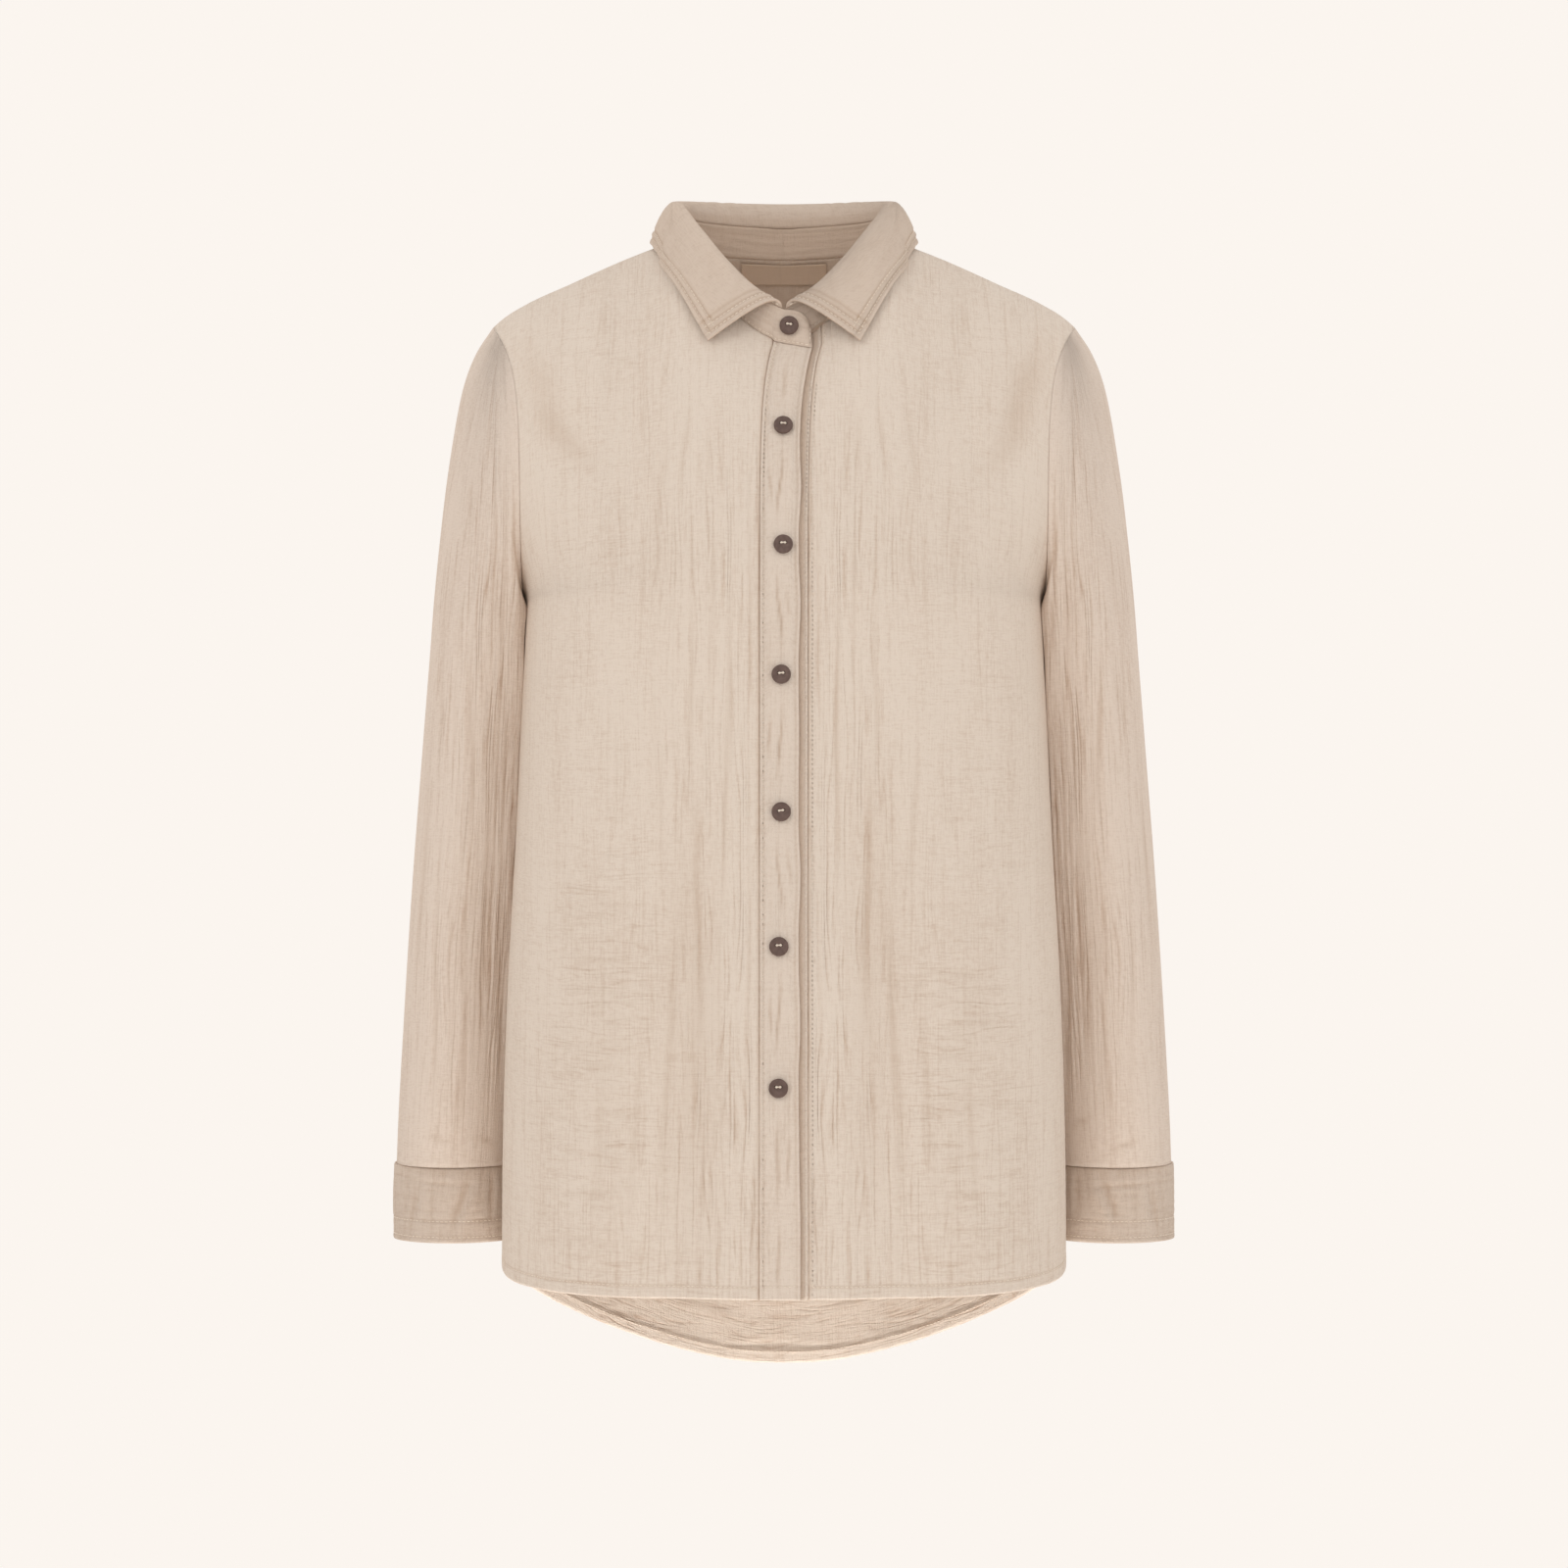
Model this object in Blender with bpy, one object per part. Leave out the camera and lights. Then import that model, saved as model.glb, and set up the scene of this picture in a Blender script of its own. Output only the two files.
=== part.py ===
"""Muslin blouse: shirt collar, buttoned front, long cuffed sleeves, longer rounded back hem.

The garment is filled out with no wearer. Every piece of cloth is a closed wall on one
base surface, 0.3 mm clear of the pieces that it is sewn to. X runs to the wearer's left,
-Y to the front and Z up, and the origin is the middle of the line between the two high
points of the shoulders. Tables and lengths are in millimetres until make_object, which
puts the points into the mesh in metres.
"""

import bpy
import numpy as np

MM = 0.001


def table(names, rows):
    """The named columns of a short table."""
    return dict(zip(names.split(), np.array(rows, float).T))


# ---------------------------------------------------------------- driving dimensions

CLOTH = 1.4  # wall of the crinkled double gauze
DOUBLED = 2.0  # wall of the collar, which is two layers
SEAM = 0.3  # clear gap between two pieces at a seam
HALF_SEAM = 0.2  # what each of two panels gives up at a seam
NECK_SEAM = 0.6  # gap between the neckline and the foot of the collar stand
BAND_SEAM = 1.0  # gap between a front's edge and its band
FALL_SEAM = 0.5  # gap between the stand's top edge and the leaf
ARM_SEAM = 0.35  # what the sleeve gives up at the armhole

# Body below the underarm: half width at the side seam, depth to the front and the back.
TORSO = table(
    "z half_width front back",
    [
        (-790, 191.0, 138, 130),
        (-700, 191.0, 138, 130),
        (-600, 190.3, 134, 122),
        (-500, 187.0, 130, 116),
        (-400, 181.5, 124, 108),
        (-320, 178.0, 122, 108),
        (-248, 175.5, 122, 112),
    ],
)
CHEST_Z = -248.0
ROUNDNESS = {"front": 2.5, "back": 2.2}  # exponent of the oval section
TOWARDS = {"front": -1.0, "back": 1.0}  # sign of y

FRONT_HEM_Z, FRONT_HEM_RISE = -700.0, 10.0
SIDE_HEM_Z, BACK_HEM_DROP = -690.0, 92.0

# Neckline seam, by the angle from the centre of the back.
NECK_WIDTH, NECK_MID_Y = 75.0, -16.0
NECKLINE = table(
    "angle y z stand_z roll_z",
    [
        (0, 46, -6, 16, 35),
        (45, 28, -4, 17, 34),
        (90, -16, -1, 16, 27),
        (110, -36.5, -5, 13, 22.5),
        (130, -54, -27, -4, 2.5),
        (150, -67, -51, -28.5, -21.5),
        (165, -74, -67.5, -45.5, -38),
        (180, -78, -78, -55.5, -49.5),
    ],
)

# Shoulder seam from the neckline to the tip, where the sleeve starts.
SHOULDER = table(
    "x z",
    [(75, -1), (110, -14), (145, -29), (176, -42.7), (190, -51), (198, -58)],
)
NECK_SHARE = 0.42  # part of a panel's top edge that is neckline

# Direction in which a panel arrives at its top edge, y being towards the shoulder line.
LEAN = {
    "front": table(
        "share x y z", [(0, 0, 0.5, 0.87), (0.42, -0.1, 0.95, 0.3), (0.6, 0, 1, 0), (1, 0, 1, 0)]
    ),
    "back": table(
        "share x y z", [(0, 0, 0.75, 0.66), (0.42, -0.1, 0.95, 0.3), (0.6, 0, 1, 0), (1, 0, 1, 0)]
    ),
}
CHEST_HANDLE, TOP_HANDLE = 70.0, 42.0

# Armhole: a tall oval that flares out to the shoulder tip.
ARM_MID_Z, ARM_HALF_HEIGHT = -152.5, 94.5
ARM_X, ARM_FLARE, ARM_FLARE_RUN = 175.5, 22.5, 28.0
ARM_DEPTH = {"front": 55.0, "back": 58.0}
ARM_TILT = 0.25
ARM_RUN = 222.0

# Soft folds of the body: where each one runs, half its width and its height off the
# surface; a fold fades in from z_top over fade, and out again below z_foot.
FOLDS = {
    "front": table(
        "x_top x_foot z_top z_foot fade half_width height",
        [
            (62, 70, -330, -900, 260, 26, -6.0),
            (108, 118, -330, -900, 260, 26, 5.0),
            (184, 128, -72, -190, 40, 15, -3.5),
        ],
    ),
    "back": table(
        "x_top x_foot z_top z_foot fade half_width height",
        [
            (30, 34, -300, -900, 280, 27, -5.0),
            (84, 88, -260, -900, 300, 30, 5.5),
            (132, 126, -330, -900, 240, 24, -5.0),
            (186, 132, -80, -200, 45, 16, -3.0),
        ],
    ),
}

# Sleeve rings: the ends of each ring on the outer and the inner side of the arm, the
# middle and half of its reach in y, and how much of the armhole's form it keeps.
SLEEVE = table(
    "outer_x outer_z inner_x inner_z mid_y half_y armhole",
    [
        (198.0, -58, 175.5, -247, 0, 55, 1),
        (209.0, -75, 177.8, -249, 0, 56, 0.8),
        (217.0, -95, 178.4, -252, 0.5, 57.5, 0.6),
        (222.8, -121, 178.8, -257, 2, 59, 0.4),
        (229.2, -161, 179.0, -264, 5, 60, 0.22),
        (234.2, -201, 179.2, -275, 9, 60.5, 0.1),
        (238.7, -243, 179.4, -292, 12.5, 60.5, 0.03),
        (242.6, -285, 179.7, -316, 18, 59, 0),
        (247.8, -341, 180.2, -352, 26, 56, 0),
        (254.7, -422, 181.2, -425, 32, 52, 0),
        (260.7, -503, 182.8, -504, 38, 48, 0),
        (266.0, -585, 184.8, -585, 43.5, 43, 0),
        (268.4, -630, 186.0, -630, 48, 40, 0),
    ],
)
# Long soft folds of a sleeve, by the angle from its outer side towards the front.
SLEEVE_FOLDS = table(
    "angle_top angle_foot start end half_angle height",
    [
        (118, 128, 2, 12, 17, -4.0),
        (72, 84, 3, 12, 18, 2.0),
        (236, 228, 3, 12, 20, -3.5),
        (292, 280, 4, 12, 20, 2.0),
    ],
)
CUFF_TOP_Z, CUFF_HEIGHT, CUFF_WALL = -630.3, 51.7, 2.2
CUFF = {"mid_x": 228.0, "mid_y": 51.0, "half_x": 42.4, "half_y": 39.0, "flare": 0.6}

# Front closing: the buttonhole band lies over the button band.
BAND_HALF, BAND_WALL, BAND_PROUD = 13.0, 2.2, 0.5
UNDER_BAND_FROM, UNDER_BAND_TO, UNDER_BAND_WALL, UNDER_DEPTH = -11.0, 19.0, 1.8, -2.9
UNDER_EASE = 26.0  # over this width the left front comes back up to the base surface
BAND_X, BAND_DRIFT, BAND_DRIFT_RUN = -3.6, 8.6, 28.0
OVER_NECK_Z, OVER_NECK_SLOPE = -77.5, -0.2
NECK_FRONT_Z = -78.0

# Collar.
STAND_HALF_X, STAND_LEAN = 72.0, 1.5  # its top edge: half width, and depth inside the neckline
STAND_OVER_X, STAND_UNDER_X = 18.5, -6.5
STAND_ROUND = 9.0  # rounding of the tab's upper corner
OVER_FROM = -174.0  # angle past which the stand's foot lies on the closing
UNDER_SPREAD = (146, 18)  # from this angle, over this many degrees, the stand tucks under
OVER_SPREAD = (150, 18)  # and at the other end it comes out over the closing
FALL_BACK_Y, FALL_BACK_Z = 68.0, -3.0
FALL_SIDE_X, FALL_SIDE_Y, FALL_SIDE_Z = 91.0, -14.0, -2.0
TIP_X, TIP_Z = 50.5, -79.0
LEAF_CLEAR = 1.2  # air under the collar's leaf
CENTRE_GAP_X = 1.0  # from the centre to the front end of each leaf
END_LIFT = 1.2  # more gap between the stand and the leaf near the centre front
LEAF = {  # handles of the leaf's section, with what they gain towards the front
    "rise": 1.55,
    "lift": 1.0,
    "front_lift": 6.0,
    "spread": 0.42,
    "front_spread": 0.16,
    "back_lift": 4.0,
    "out": 4.0,
    "front_out": 6.0,
}

BUTTON_RADIUS, BUTTON_THICK, BUTTON_LIFT = 6.25, 2.8, 0.6
BUTTONS = table(
    "x z",
    [(3.4, -66), (-0.5, -135), (-0.5, -213), (-1.8, -297), (-1.8, -386), (-3.3, -473), (-3.6, -564)],
)
LABEL_HALF_WIDTH, LABEL_WALL, LABEL_LIFT = 30.0, 0.8, 1.0
LABEL_FROM, LABEL_TO = 0.885, 0.985  # rows of the back panel that it covers

# Number of faces across and along each piece.
ROWS_BELOW, ROWS_ABOVE = 9, 12
NECK_COLUMNS, SHOULDER_COLUMNS = 8, 6
SLEEVE_ROWS = 20
CUFF_ROWS = 3
BAND_COLUMNS = 3
STAND_COLUMNS, STAND_ROWS = 44, 4
FALL_COLUMNS, FALL_ROWS = 40, 8
BUTTON_SIDES = 16

COLOURS = {
    "front": (220, 203, 186),
    "back": (217, 199, 182),
    "sleeve": (217, 198, 181),
    "cuff": (204, 183, 165),
    "collar": (219, 202, 185),
    "band": (221, 204, 187),
    "label": (232, 222, 208),
    "button": (98, 78, 70),
}


# ---------------------------------------------------------------- curves and surfaces


def curve(knots, values, at):
    """A smooth curve through a table: cubic pieces whose slope at a knot follows its neighbours."""
    slope = np.gradient(values, knots)
    at = np.clip(at, knots[0], knots[-1])
    i = np.clip(np.searchsorted(knots, at) - 1, 0, len(knots) - 2)
    step = knots[i + 1] - knots[i]
    t = (at - knots[i]) / step
    start = (1 + 2 * t) * (1 - t) ** 2 * values[i] + t * (1 - t) ** 2 * step * slope[i]
    end = t * t * (3 - 2 * t) * values[i + 1] + t * t * (t - 1) * step * slope[i + 1]
    return start + end


def ease(x):
    """0 to 1 with a level start and end."""
    x = np.clip(x, 0, 1)
    return x * x * (3 - 2 * x)


def unit(vectors):
    return vectors / np.maximum(np.linalg.norm(vectors, axis=-1, keepdims=True), 1e-12)


def point(x, y, z):
    return np.stack(np.broadcast_arrays(x, y, z), axis=-1).astype(float)


def bezier(p0, p1, p2, p3, t):
    t = np.asarray(t)[..., None]
    return (1 - t) ** 3 * p0 + 3 * t * (1 - t) ** 2 * p1 + 3 * t * t * (1 - t) * p2 + t**3 * p3


def oval(angle, half_x, half_y, exponent):
    """A quarter of a rounded oval, from the middle of its front (0) to its side (pi / 2)."""
    power = 2 / exponent
    return half_x * np.sin(angle) ** power, half_y * np.abs(np.cos(angle)) ** power


def equal_steps(side):
    """The oval's angle against the share of its length, at the chest."""
    angle = np.linspace(0, np.pi / 2, 2000)
    x, y = oval(angle, TORSO["half_width"][-1], TORSO[side][-1], ROUNDNESS[side])
    length = np.concatenate([[0], np.cumsum(np.hypot(np.diff(x), np.diff(y)))])
    return length / length[-1], angle


STEPS = {side: equal_steps(side) for side in TOWARDS}


def below_chest(side, u, z):
    """The body at share u from its centre line to its side seam, at height z."""
    angle = np.interp(u, *STEPS[side])
    half_width = curve(TORSO["z"], TORSO["half_width"], z)
    depth = curve(TORSO["z"], TORSO[side], z)
    x, y = oval(angle, half_width, depth, ROUNDNESS[side])
    return point(x, TOWARDS[side] * y, z)


def along_neck(column, angle):
    """A value along the neckline; angles past the centre front run back up the other side."""
    angle = np.abs(angle)
    return curve(NECKLINE["angle"], NECKLINE[column], np.where(angle > 180, 360 - angle, angle))


def neckline(angle):
    x = NECK_WIDTH * np.sin(np.radians(angle))
    return point(x, along_neck("y", angle), along_neck("z", angle))


def top_edge(side, u):
    """Neckline from the centre to the shoulder, then the shoulder seam to its tip."""
    around = 90 * np.clip(u / NECK_SHARE, 0, 1)
    neck = neckline(180 - around if side == "front" else around)
    along = np.clip((u - NECK_SHARE) / (1 - NECK_SHARE), 0, 1)
    x = SHOULDER["x"][0] + along * (SHOULDER["x"][-1] - SHOULDER["x"][0])
    seam = point(x, NECK_MID_Y * (1 - along), curve(SHOULDER["x"], SHOULDER["z"], x))
    return np.where((np.asarray(u) < NECK_SHARE)[..., None], neck, seam)


def yoke(side, u, t):
    """The body above the chest: columns that rise from the chest and lean over to the top edge."""
    foot = below_chest(side, u, CHEST_Z)
    rise = foot - below_chest(side, u, CHEST_Z - 1)
    top = top_edge(side, u)
    lean = LEAN[side]
    arrive = [np.interp(u, lean["share"], lean[axis]) for axis in "xyz"]
    arrive = unit(point(arrive[0], -TOWARDS[side] * arrive[1], arrive[2]))
    return bezier(foot, foot + CHEST_HANDLE * rise, top - TOP_HANDLE * arrive, top, t)


def armhole(side, v):
    """The armhole seam from the underarm (v = 0) to the shoulder tip (v = 1)."""
    turn = np.pi * (1 - v)
    z = ARM_MID_Z + ARM_HALF_HEIGHT * np.cos(turn)
    x = ARM_X + ARM_FLARE * np.exp((z - SHOULDER["z"][-1]) / ARM_FLARE_RUN)
    y = TOWARDS[side] * ARM_DEPTH[side] * np.sin(turn) * (1 - ARM_TILT * np.cos(turn))
    return point(x, y, z)


def armhole_fit(side):
    """Where the armhole crosses the columns of the yoke: share, height along it and what is left."""
    v = np.linspace(0, 1, 121)
    goal = armhole(side, v)
    share = 1 - np.abs(goal[:, 1]) / ARM_RUN
    low, high = np.zeros_like(v), np.ones_like(v)
    for _ in range(30):
        middle = (low + high) / 2
        above = yoke(side, share, middle)[:, 2] > goal[:, 2]
        high = np.where(above, middle, high)
        low = np.where(above, low, middle)
    left = goal - yoke(side, share, high)
    return v, share, high, left


ARM_FIT = {side: armhole_fit(side) for side in TOWARDS}


def hem(side, u):
    if side == "front":
        return FRONT_HEM_Z + FRONT_HEM_RISE * u**6
    return SIDE_HEM_Z - BACK_HEM_DROP * np.cos(np.pi / 2 * np.clip(u, 0, 1)) ** 1.1


def plain_body(side, u, v):
    """Half of the body with no folds: v runs from the hem (-1) over the chest (0) to the top (1)."""
    u, v = np.broadcast_arrays(np.asarray(u, float), np.asarray(v, float))
    down = np.clip(v, -1, 0)
    lower = below_chest(side, u, CHEST_Z + down * (CHEST_Z - hem(side, u)))
    up = np.clip(v, 0, 1)
    known, share, height, left = ARM_FIT[side]
    share = np.interp(up, known, share)
    height = np.interp(up, known, height)
    left = np.stack([np.interp(up, known, left[:, i]) for i in range(3)], axis=-1)
    upper = yoke(side, u * share, up + u * (height - up)) + u[..., None] ** 2 * left
    return np.where((v < 0)[..., None], lower, upper)


def with_normals(shape, u, v, outwards=1.0, step=0.003, lowest=(0, -1), highest=(1, 1)):
    """Points of shape(u, v) and their unit normals, from a small step each way."""
    u0, u1 = np.clip(u - step, lowest[0], highest[0]), np.clip(u + step, lowest[0], highest[0])
    v0, v1 = np.clip(v - step, lowest[1], highest[1]), np.clip(v + step, lowest[1], highest[1])
    across = shape(u1, v) - shape(u0, v)
    along = shape(u, v1) - shape(u, v0)
    return shape(u, v), outwards * unit(np.cross(across, along))


def bump(x):
    """A soft rise of height 1 that ends at -1 and 1."""
    return ease(1 - np.abs(x))


def fold_height(side, points, u):
    """How far the soft folds stand off the plain body; they fade towards the side and the armhole."""
    x, z = points[..., 0], points[..., 2]
    folds = FOLDS[side]
    total = np.zeros(x.shape)
    for i in range(len(folds["height"])):
        f = {name: column[i] for name, column in folds.items()}
        down = (f["z_top"] - z) / (f["z_top"] - max(f["z_foot"], -700))
        middle = f["x_top"] + down * (f["x_foot"] - f["x_top"])
        fade = ease((f["z_top"] - z) / f["fade"]) * ease((z - f["z_foot"]) / f["fade"])
        total += f["height"] * fade * bump((x - middle) / (2 * f["half_width"]))
    return total * ease((1 - u) / 0.12)


def body(side, u, v):
    """Half of the outer face of the body, on the wearer's left."""
    u, v = np.broadcast_arrays(np.asarray(u, float), np.asarray(v, float))
    points, normals = with_normals(lambda a, b: plain_body(side, a, b), u, v, -TOWARDS[side])
    return points + normals * fold_height(side, points, u)[..., None]


def share_at(side, x, v):
    """The share u at which a panel has these distances x from the centre, row by row."""
    samples = np.linspace(0, 0.6, 121)
    known = plain_body(side, samples[None, :], v[:, None])[..., 0]
    return np.array([np.interp(x[i], known[i], samples) for i in range(len(v))])


def closing_share(edge, v):
    """The share u of an edge of the closing, which is given as a distance x for each height z."""
    z = plain_body("front", 0.0, v)[:, 2]
    for _ in range(4):
        share = share_at("front", edge(z), v)
        z = plain_body("front", share, v)[:, 2]
    return share


FIELD_ROWS = np.concatenate([np.linspace(-1, 0, 60)[:-1], np.linspace(0, 1, 60)])
FIELD = body("front", np.linspace(0, 1, 120)[None, :], FIELD_ROWS[:, None])


def front_y(x, z):
    """The depth y of the front at a place seen from the front."""
    x, z = np.broadcast_arrays(np.abs(np.asarray(x, float)), np.asarray(z, float))
    flat = x.ravel()
    heights = np.array([np.interp(flat, row[:, 0], row[:, 2]) for row in FIELD])
    depths = np.array([np.interp(flat, row[:, 0], row[:, 1]) for row in FIELD])
    i = np.clip((heights < z.ravel()).sum(axis=0), 1, len(FIELD) - 1)
    at = np.arange(len(flat))
    z0, z1 = heights[i - 1, at], heights[i, at]
    t = np.clip((z.ravel() - z0) / np.maximum(z1 - z0, 1e-9), 0, 1)
    return (depths[i - 1, at] + t * (depths[i, at] - depths[i - 1, at])).reshape(x.shape)


# ---------------------------------------------------------------- meshes


def material(name, colour, roughness=0.95, metallic=0.0):
    made = bpy.data.materials.new(name)
    made.use_nodes = True
    shader = made.node_tree.nodes["Principled BSDF"]
    linear = [((c / 255 + 0.055) / 1.055) ** 2.4 for c in colour]
    shader.inputs["Base Color"].default_value = (*linear, 1)
    shader.inputs["Roughness"].default_value = roughness
    shader.inputs["Metallic"].default_value = metallic
    made.diffuse_color = (*linear, 1)
    return made


def make_object(name, vertices, faces, colour, **finish):
    """A mesh object in metres; the faces are turned round if they point inwards."""
    vertices = np.asarray(vertices, float).reshape(-1, 3)
    corners = vertices[[face[:3] for face in faces]]
    last = vertices[[face[-1] for face in faces]]
    volume = np.linalg.det(corners).sum()
    volume += np.linalg.det(np.stack([corners[:, 0], corners[:, 2], last], axis=1)).sum()
    if volume < 0:
        faces = [tuple(reversed(face)) for face in faces]
    mesh = bpy.data.meshes.new(name)
    mesh.from_pydata((vertices * MM).tolist(), [], faces)
    mesh.materials.append(material(name, COLOURS[colour], **finish))
    mesh.shade_smooth()
    mesh.set_sharp_from_angle(angle=np.radians(50))
    made = bpy.data.objects.new(name, mesh)
    bpy.context.scene.collection.objects.link(made)
    return made


def quads(rows, columns, first, wrap, turned):
    """Faces of a grid of points; turned ones wind the other way on the same diagonal."""
    found = []
    for r in range(rows - 1):
        for c in range(columns if wrap else columns - 1):
            d = (c + 1) % columns
            a, b, e, f = (first + r * columns + c, first + r * columns + d,
                          first + (r + 1) * columns + d, first + (r + 1) * columns + c)
            found.append((a, f, e, b) if turned else (a, b, e, f))
    return found


def wall(name, outer, normals, thick, colour, wrap=False):
    """A closed wall: the outer grid, the same grid moved in by its thickness, and the rims between."""
    rows, columns = outer.shape[:2]
    inner = outer - normals * thick
    count = rows * columns
    faces = quads(rows, columns, 0, wrap, False) + quads(rows, columns, count, wrap, True)
    for c in range(columns if wrap else columns - 1):
        d = (c + 1) % columns
        top = (rows - 1) * columns
        faces.append((c, count + c, count + d, d))
        faces.append((top + d, count + top + d, count + top + c, top + c))
    if not wrap:
        for r in range(rows - 1):
            a, b = r * columns, (r + 1) * columns
            faces.append((b, count + b, count + a, a))
            a, b = a + columns - 1, b + columns - 1
            faces.append((a, count + a, count + b, b))
    return make_object(name, np.concatenate([outer.reshape(-1, 3), inner.reshape(-1, 3)]), faces, colour)


def pull_back(grid, edge, inside, by):
    """Moves an edge of a grid towards its neighbour line, which opens the seam."""
    grid[edge] += by * unit(grid[inside] - grid[edge])


# A line on the edge of a grid, and the line inside it.
FOOT_ROW = (np.s_[0], np.s_[1])
TOP_ROW = (np.s_[-1], np.s_[-2])
SIDE_COLUMN = (np.s_[:, -1], np.s_[:, -2])


def mirrored(vectors):
    return vectors * (-1, 1, 1)


# ---------------------------------------------------------------- body panels


def panel_rows():
    below = np.linspace(-1, 0, ROWS_BELOW + 1)
    return np.concatenate([below[:-1], np.linspace(0, 1, ROWS_ABOVE + 1)])


def panel_columns(first):
    """Shares from an inner edge to the side, with a column on the high point of the shoulder."""
    first = np.asarray(first, float)[..., None]
    neck = first + (NECK_SHARE - first) * np.linspace(0, 1, NECK_COLUMNS + 1)
    shoulder = NECK_SHARE + (1 - NECK_SHARE) * np.linspace(0, 1, SHOULDER_COLUMNS + 1)
    shoulder = np.broadcast_to(shoulder[1:], (*neck.shape[:-1], SHOULDER_COLUMNS))
    return np.concatenate([neck, shoulder], axis=-1)


def band_x(z):
    """The middle of the closing, which drifts to the wearer's left near the neck."""
    return BAND_X + BAND_DRIFT * np.exp(-(NECK_FRONT_Z - np.minimum(z, NECK_FRONT_Z)) / BAND_DRIFT_RUN)


def shared_seam_normals(side, u, v):
    """Normals of the body, averaged at the shoulder seam and armhole with the piece across the seam."""
    points, normals = with_normals(lambda a, b: body(side, a, b), u, v, -TOWARDS[side])
    other = "back" if side == "front" else "front"
    _, across = with_normals(lambda a, b: body(other, a, b), u[-1:], v[-1:], -TOWARDS[other])
    on_shoulder = (u[-1:] > NECK_SHARE - 1e-6)[..., None]
    normals[-1:] = np.where(on_shoulder, unit(normals[-1:] + across), normals[-1:])
    above = v[:, -1] > 0
    normals[above, -1] = arm_seam_normals(side, v[above, -1], normals[above, -1])
    normals[~above, -1] = (1, 0, 0)
    return points, normals


def front(name, is_right):
    """One front, from the closing to the side seam."""
    def edge(z):
        return BAND_HALF - band_x(z) if is_right else UNDER_BAND_TO + BAND_SEAM + band_x(z)

    rows = panel_rows()
    u = panel_columns(closing_share(edge, rows))
    v = np.broadcast_to(rows[:, None], u.shape)
    outer, normals = shared_seam_normals("front", u, v)
    if not is_right:
        past = outer[..., 0] - outer[:, :1, 0]
        outer = outer + normals * (UNDER_DEPTH * (1 - ease(past / UNDER_EASE)))[..., None]
    for line in (TOP_ROW, SIDE_COLUMN):
        pull_back(outer, *line, HALF_SEAM)
    if is_right:
        outer, normals = mirrored(outer), mirrored(normals)
    wall(name, outer, normals, CLOTH, "front")


def back():
    rows = panel_rows()
    half = panel_columns(np.zeros(len(rows)))
    v = np.broadcast_to(rows[:, None], half.shape)
    points, normals = shared_seam_normals("back", half, v)
    for line in (TOP_ROW, SIDE_COLUMN):
        pull_back(points, *line, HALF_SEAM)
    outer = np.concatenate([mirrored(points[:, :0:-1]), points], axis=1)
    normals = np.concatenate([mirrored(normals[:, :0:-1]), normals], axis=1)
    wall("back", outer, normals, CLOTH, "back")


# ---------------------------------------------------------------- sleeves and cuffs


def ring_armhole(turn):
    """The armhole all round: turn 0 is the shoulder tip, then the front, the underarm, the back."""
    v = np.abs(1 - np.mod(turn, 2 * np.pi) / np.pi)
    is_front = (np.mod(turn, 2 * np.pi) < np.pi)[..., None]
    return np.where(is_front, armhole("front", v), armhole("back", v))


def plain_sleeve(turn, station):
    """The left sleeve: ovals that turn from the armhole's plane to level."""
    turn, station = np.broadcast_arrays(np.asarray(turn, float), np.asarray(station, float))
    index = np.arange(len(SLEEVE["armhole"]), dtype=float)
    s = {name: curve(index, column, station) for name, column in SLEEVE.items()}

    def ring(values):
        swing = (1 + np.cos(turn)) / 2
        x = values["inner_x"] + swing * (values["outer_x"] - values["inner_x"])
        z = values["inner_z"] + swing * (values["outer_z"] - values["inner_z"])
        return point(x, values["mid_y"] - values["half_y"] * np.sin(turn), z)

    first = {name: column[0] for name, column in SLEEVE.items()}
    form = ring_armhole(turn) - ring(first)
    return ring(s) + np.clip(s["armhole"], 0, 1)[..., None] * form


def sleeve_fold_height(turn, station):
    degrees = np.degrees(np.mod(turn, 2 * np.pi))
    total = np.zeros(np.shape(degrees))
    for i in range(len(SLEEVE_FOLDS["height"])):
        f = {name: column[i] for name, column in SLEEVE_FOLDS.items()}
        down = (station - f["start"]) / (f["end"] - f["start"])
        middle = f["angle_top"] + down * (f["angle_foot"] - f["angle_top"])
        fade = ease(2.5 * down) * ease(4 * (1 - down))
        total += f["height"] * fade * bump((degrees - middle) / (2 * f["half_angle"]))
    return total


def sleeve_shape(turn, station):
    last = len(SLEEVE["armhole"]) - 1
    points, normals = with_normals(
        plain_sleeve, turn, station, 1.0, 0.01, (-10, 0), (10, last)
    )
    return points + normals * sleeve_fold_height(turn, station)[..., None]


def sleeve_normals(turn, station):
    last = len(SLEEVE["armhole"]) - 1
    return with_normals(sleeve_shape, turn, station, 1.0, 0.01, (-10, 0), (10, last))


def arm_seam_normals(side, v, own):
    """Normals at the armhole: shared with the sleeve where the two faces run on, else their own."""
    turn = np.pi * (1 - v) if side == "front" else np.pi * (1 + v)
    _, across = sleeve_normals(turn, np.zeros_like(turn))
    agree = ease(((own * across).sum(axis=-1) - 0.3) / 0.4)[:, None]
    return unit(own + agree * across)


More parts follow.
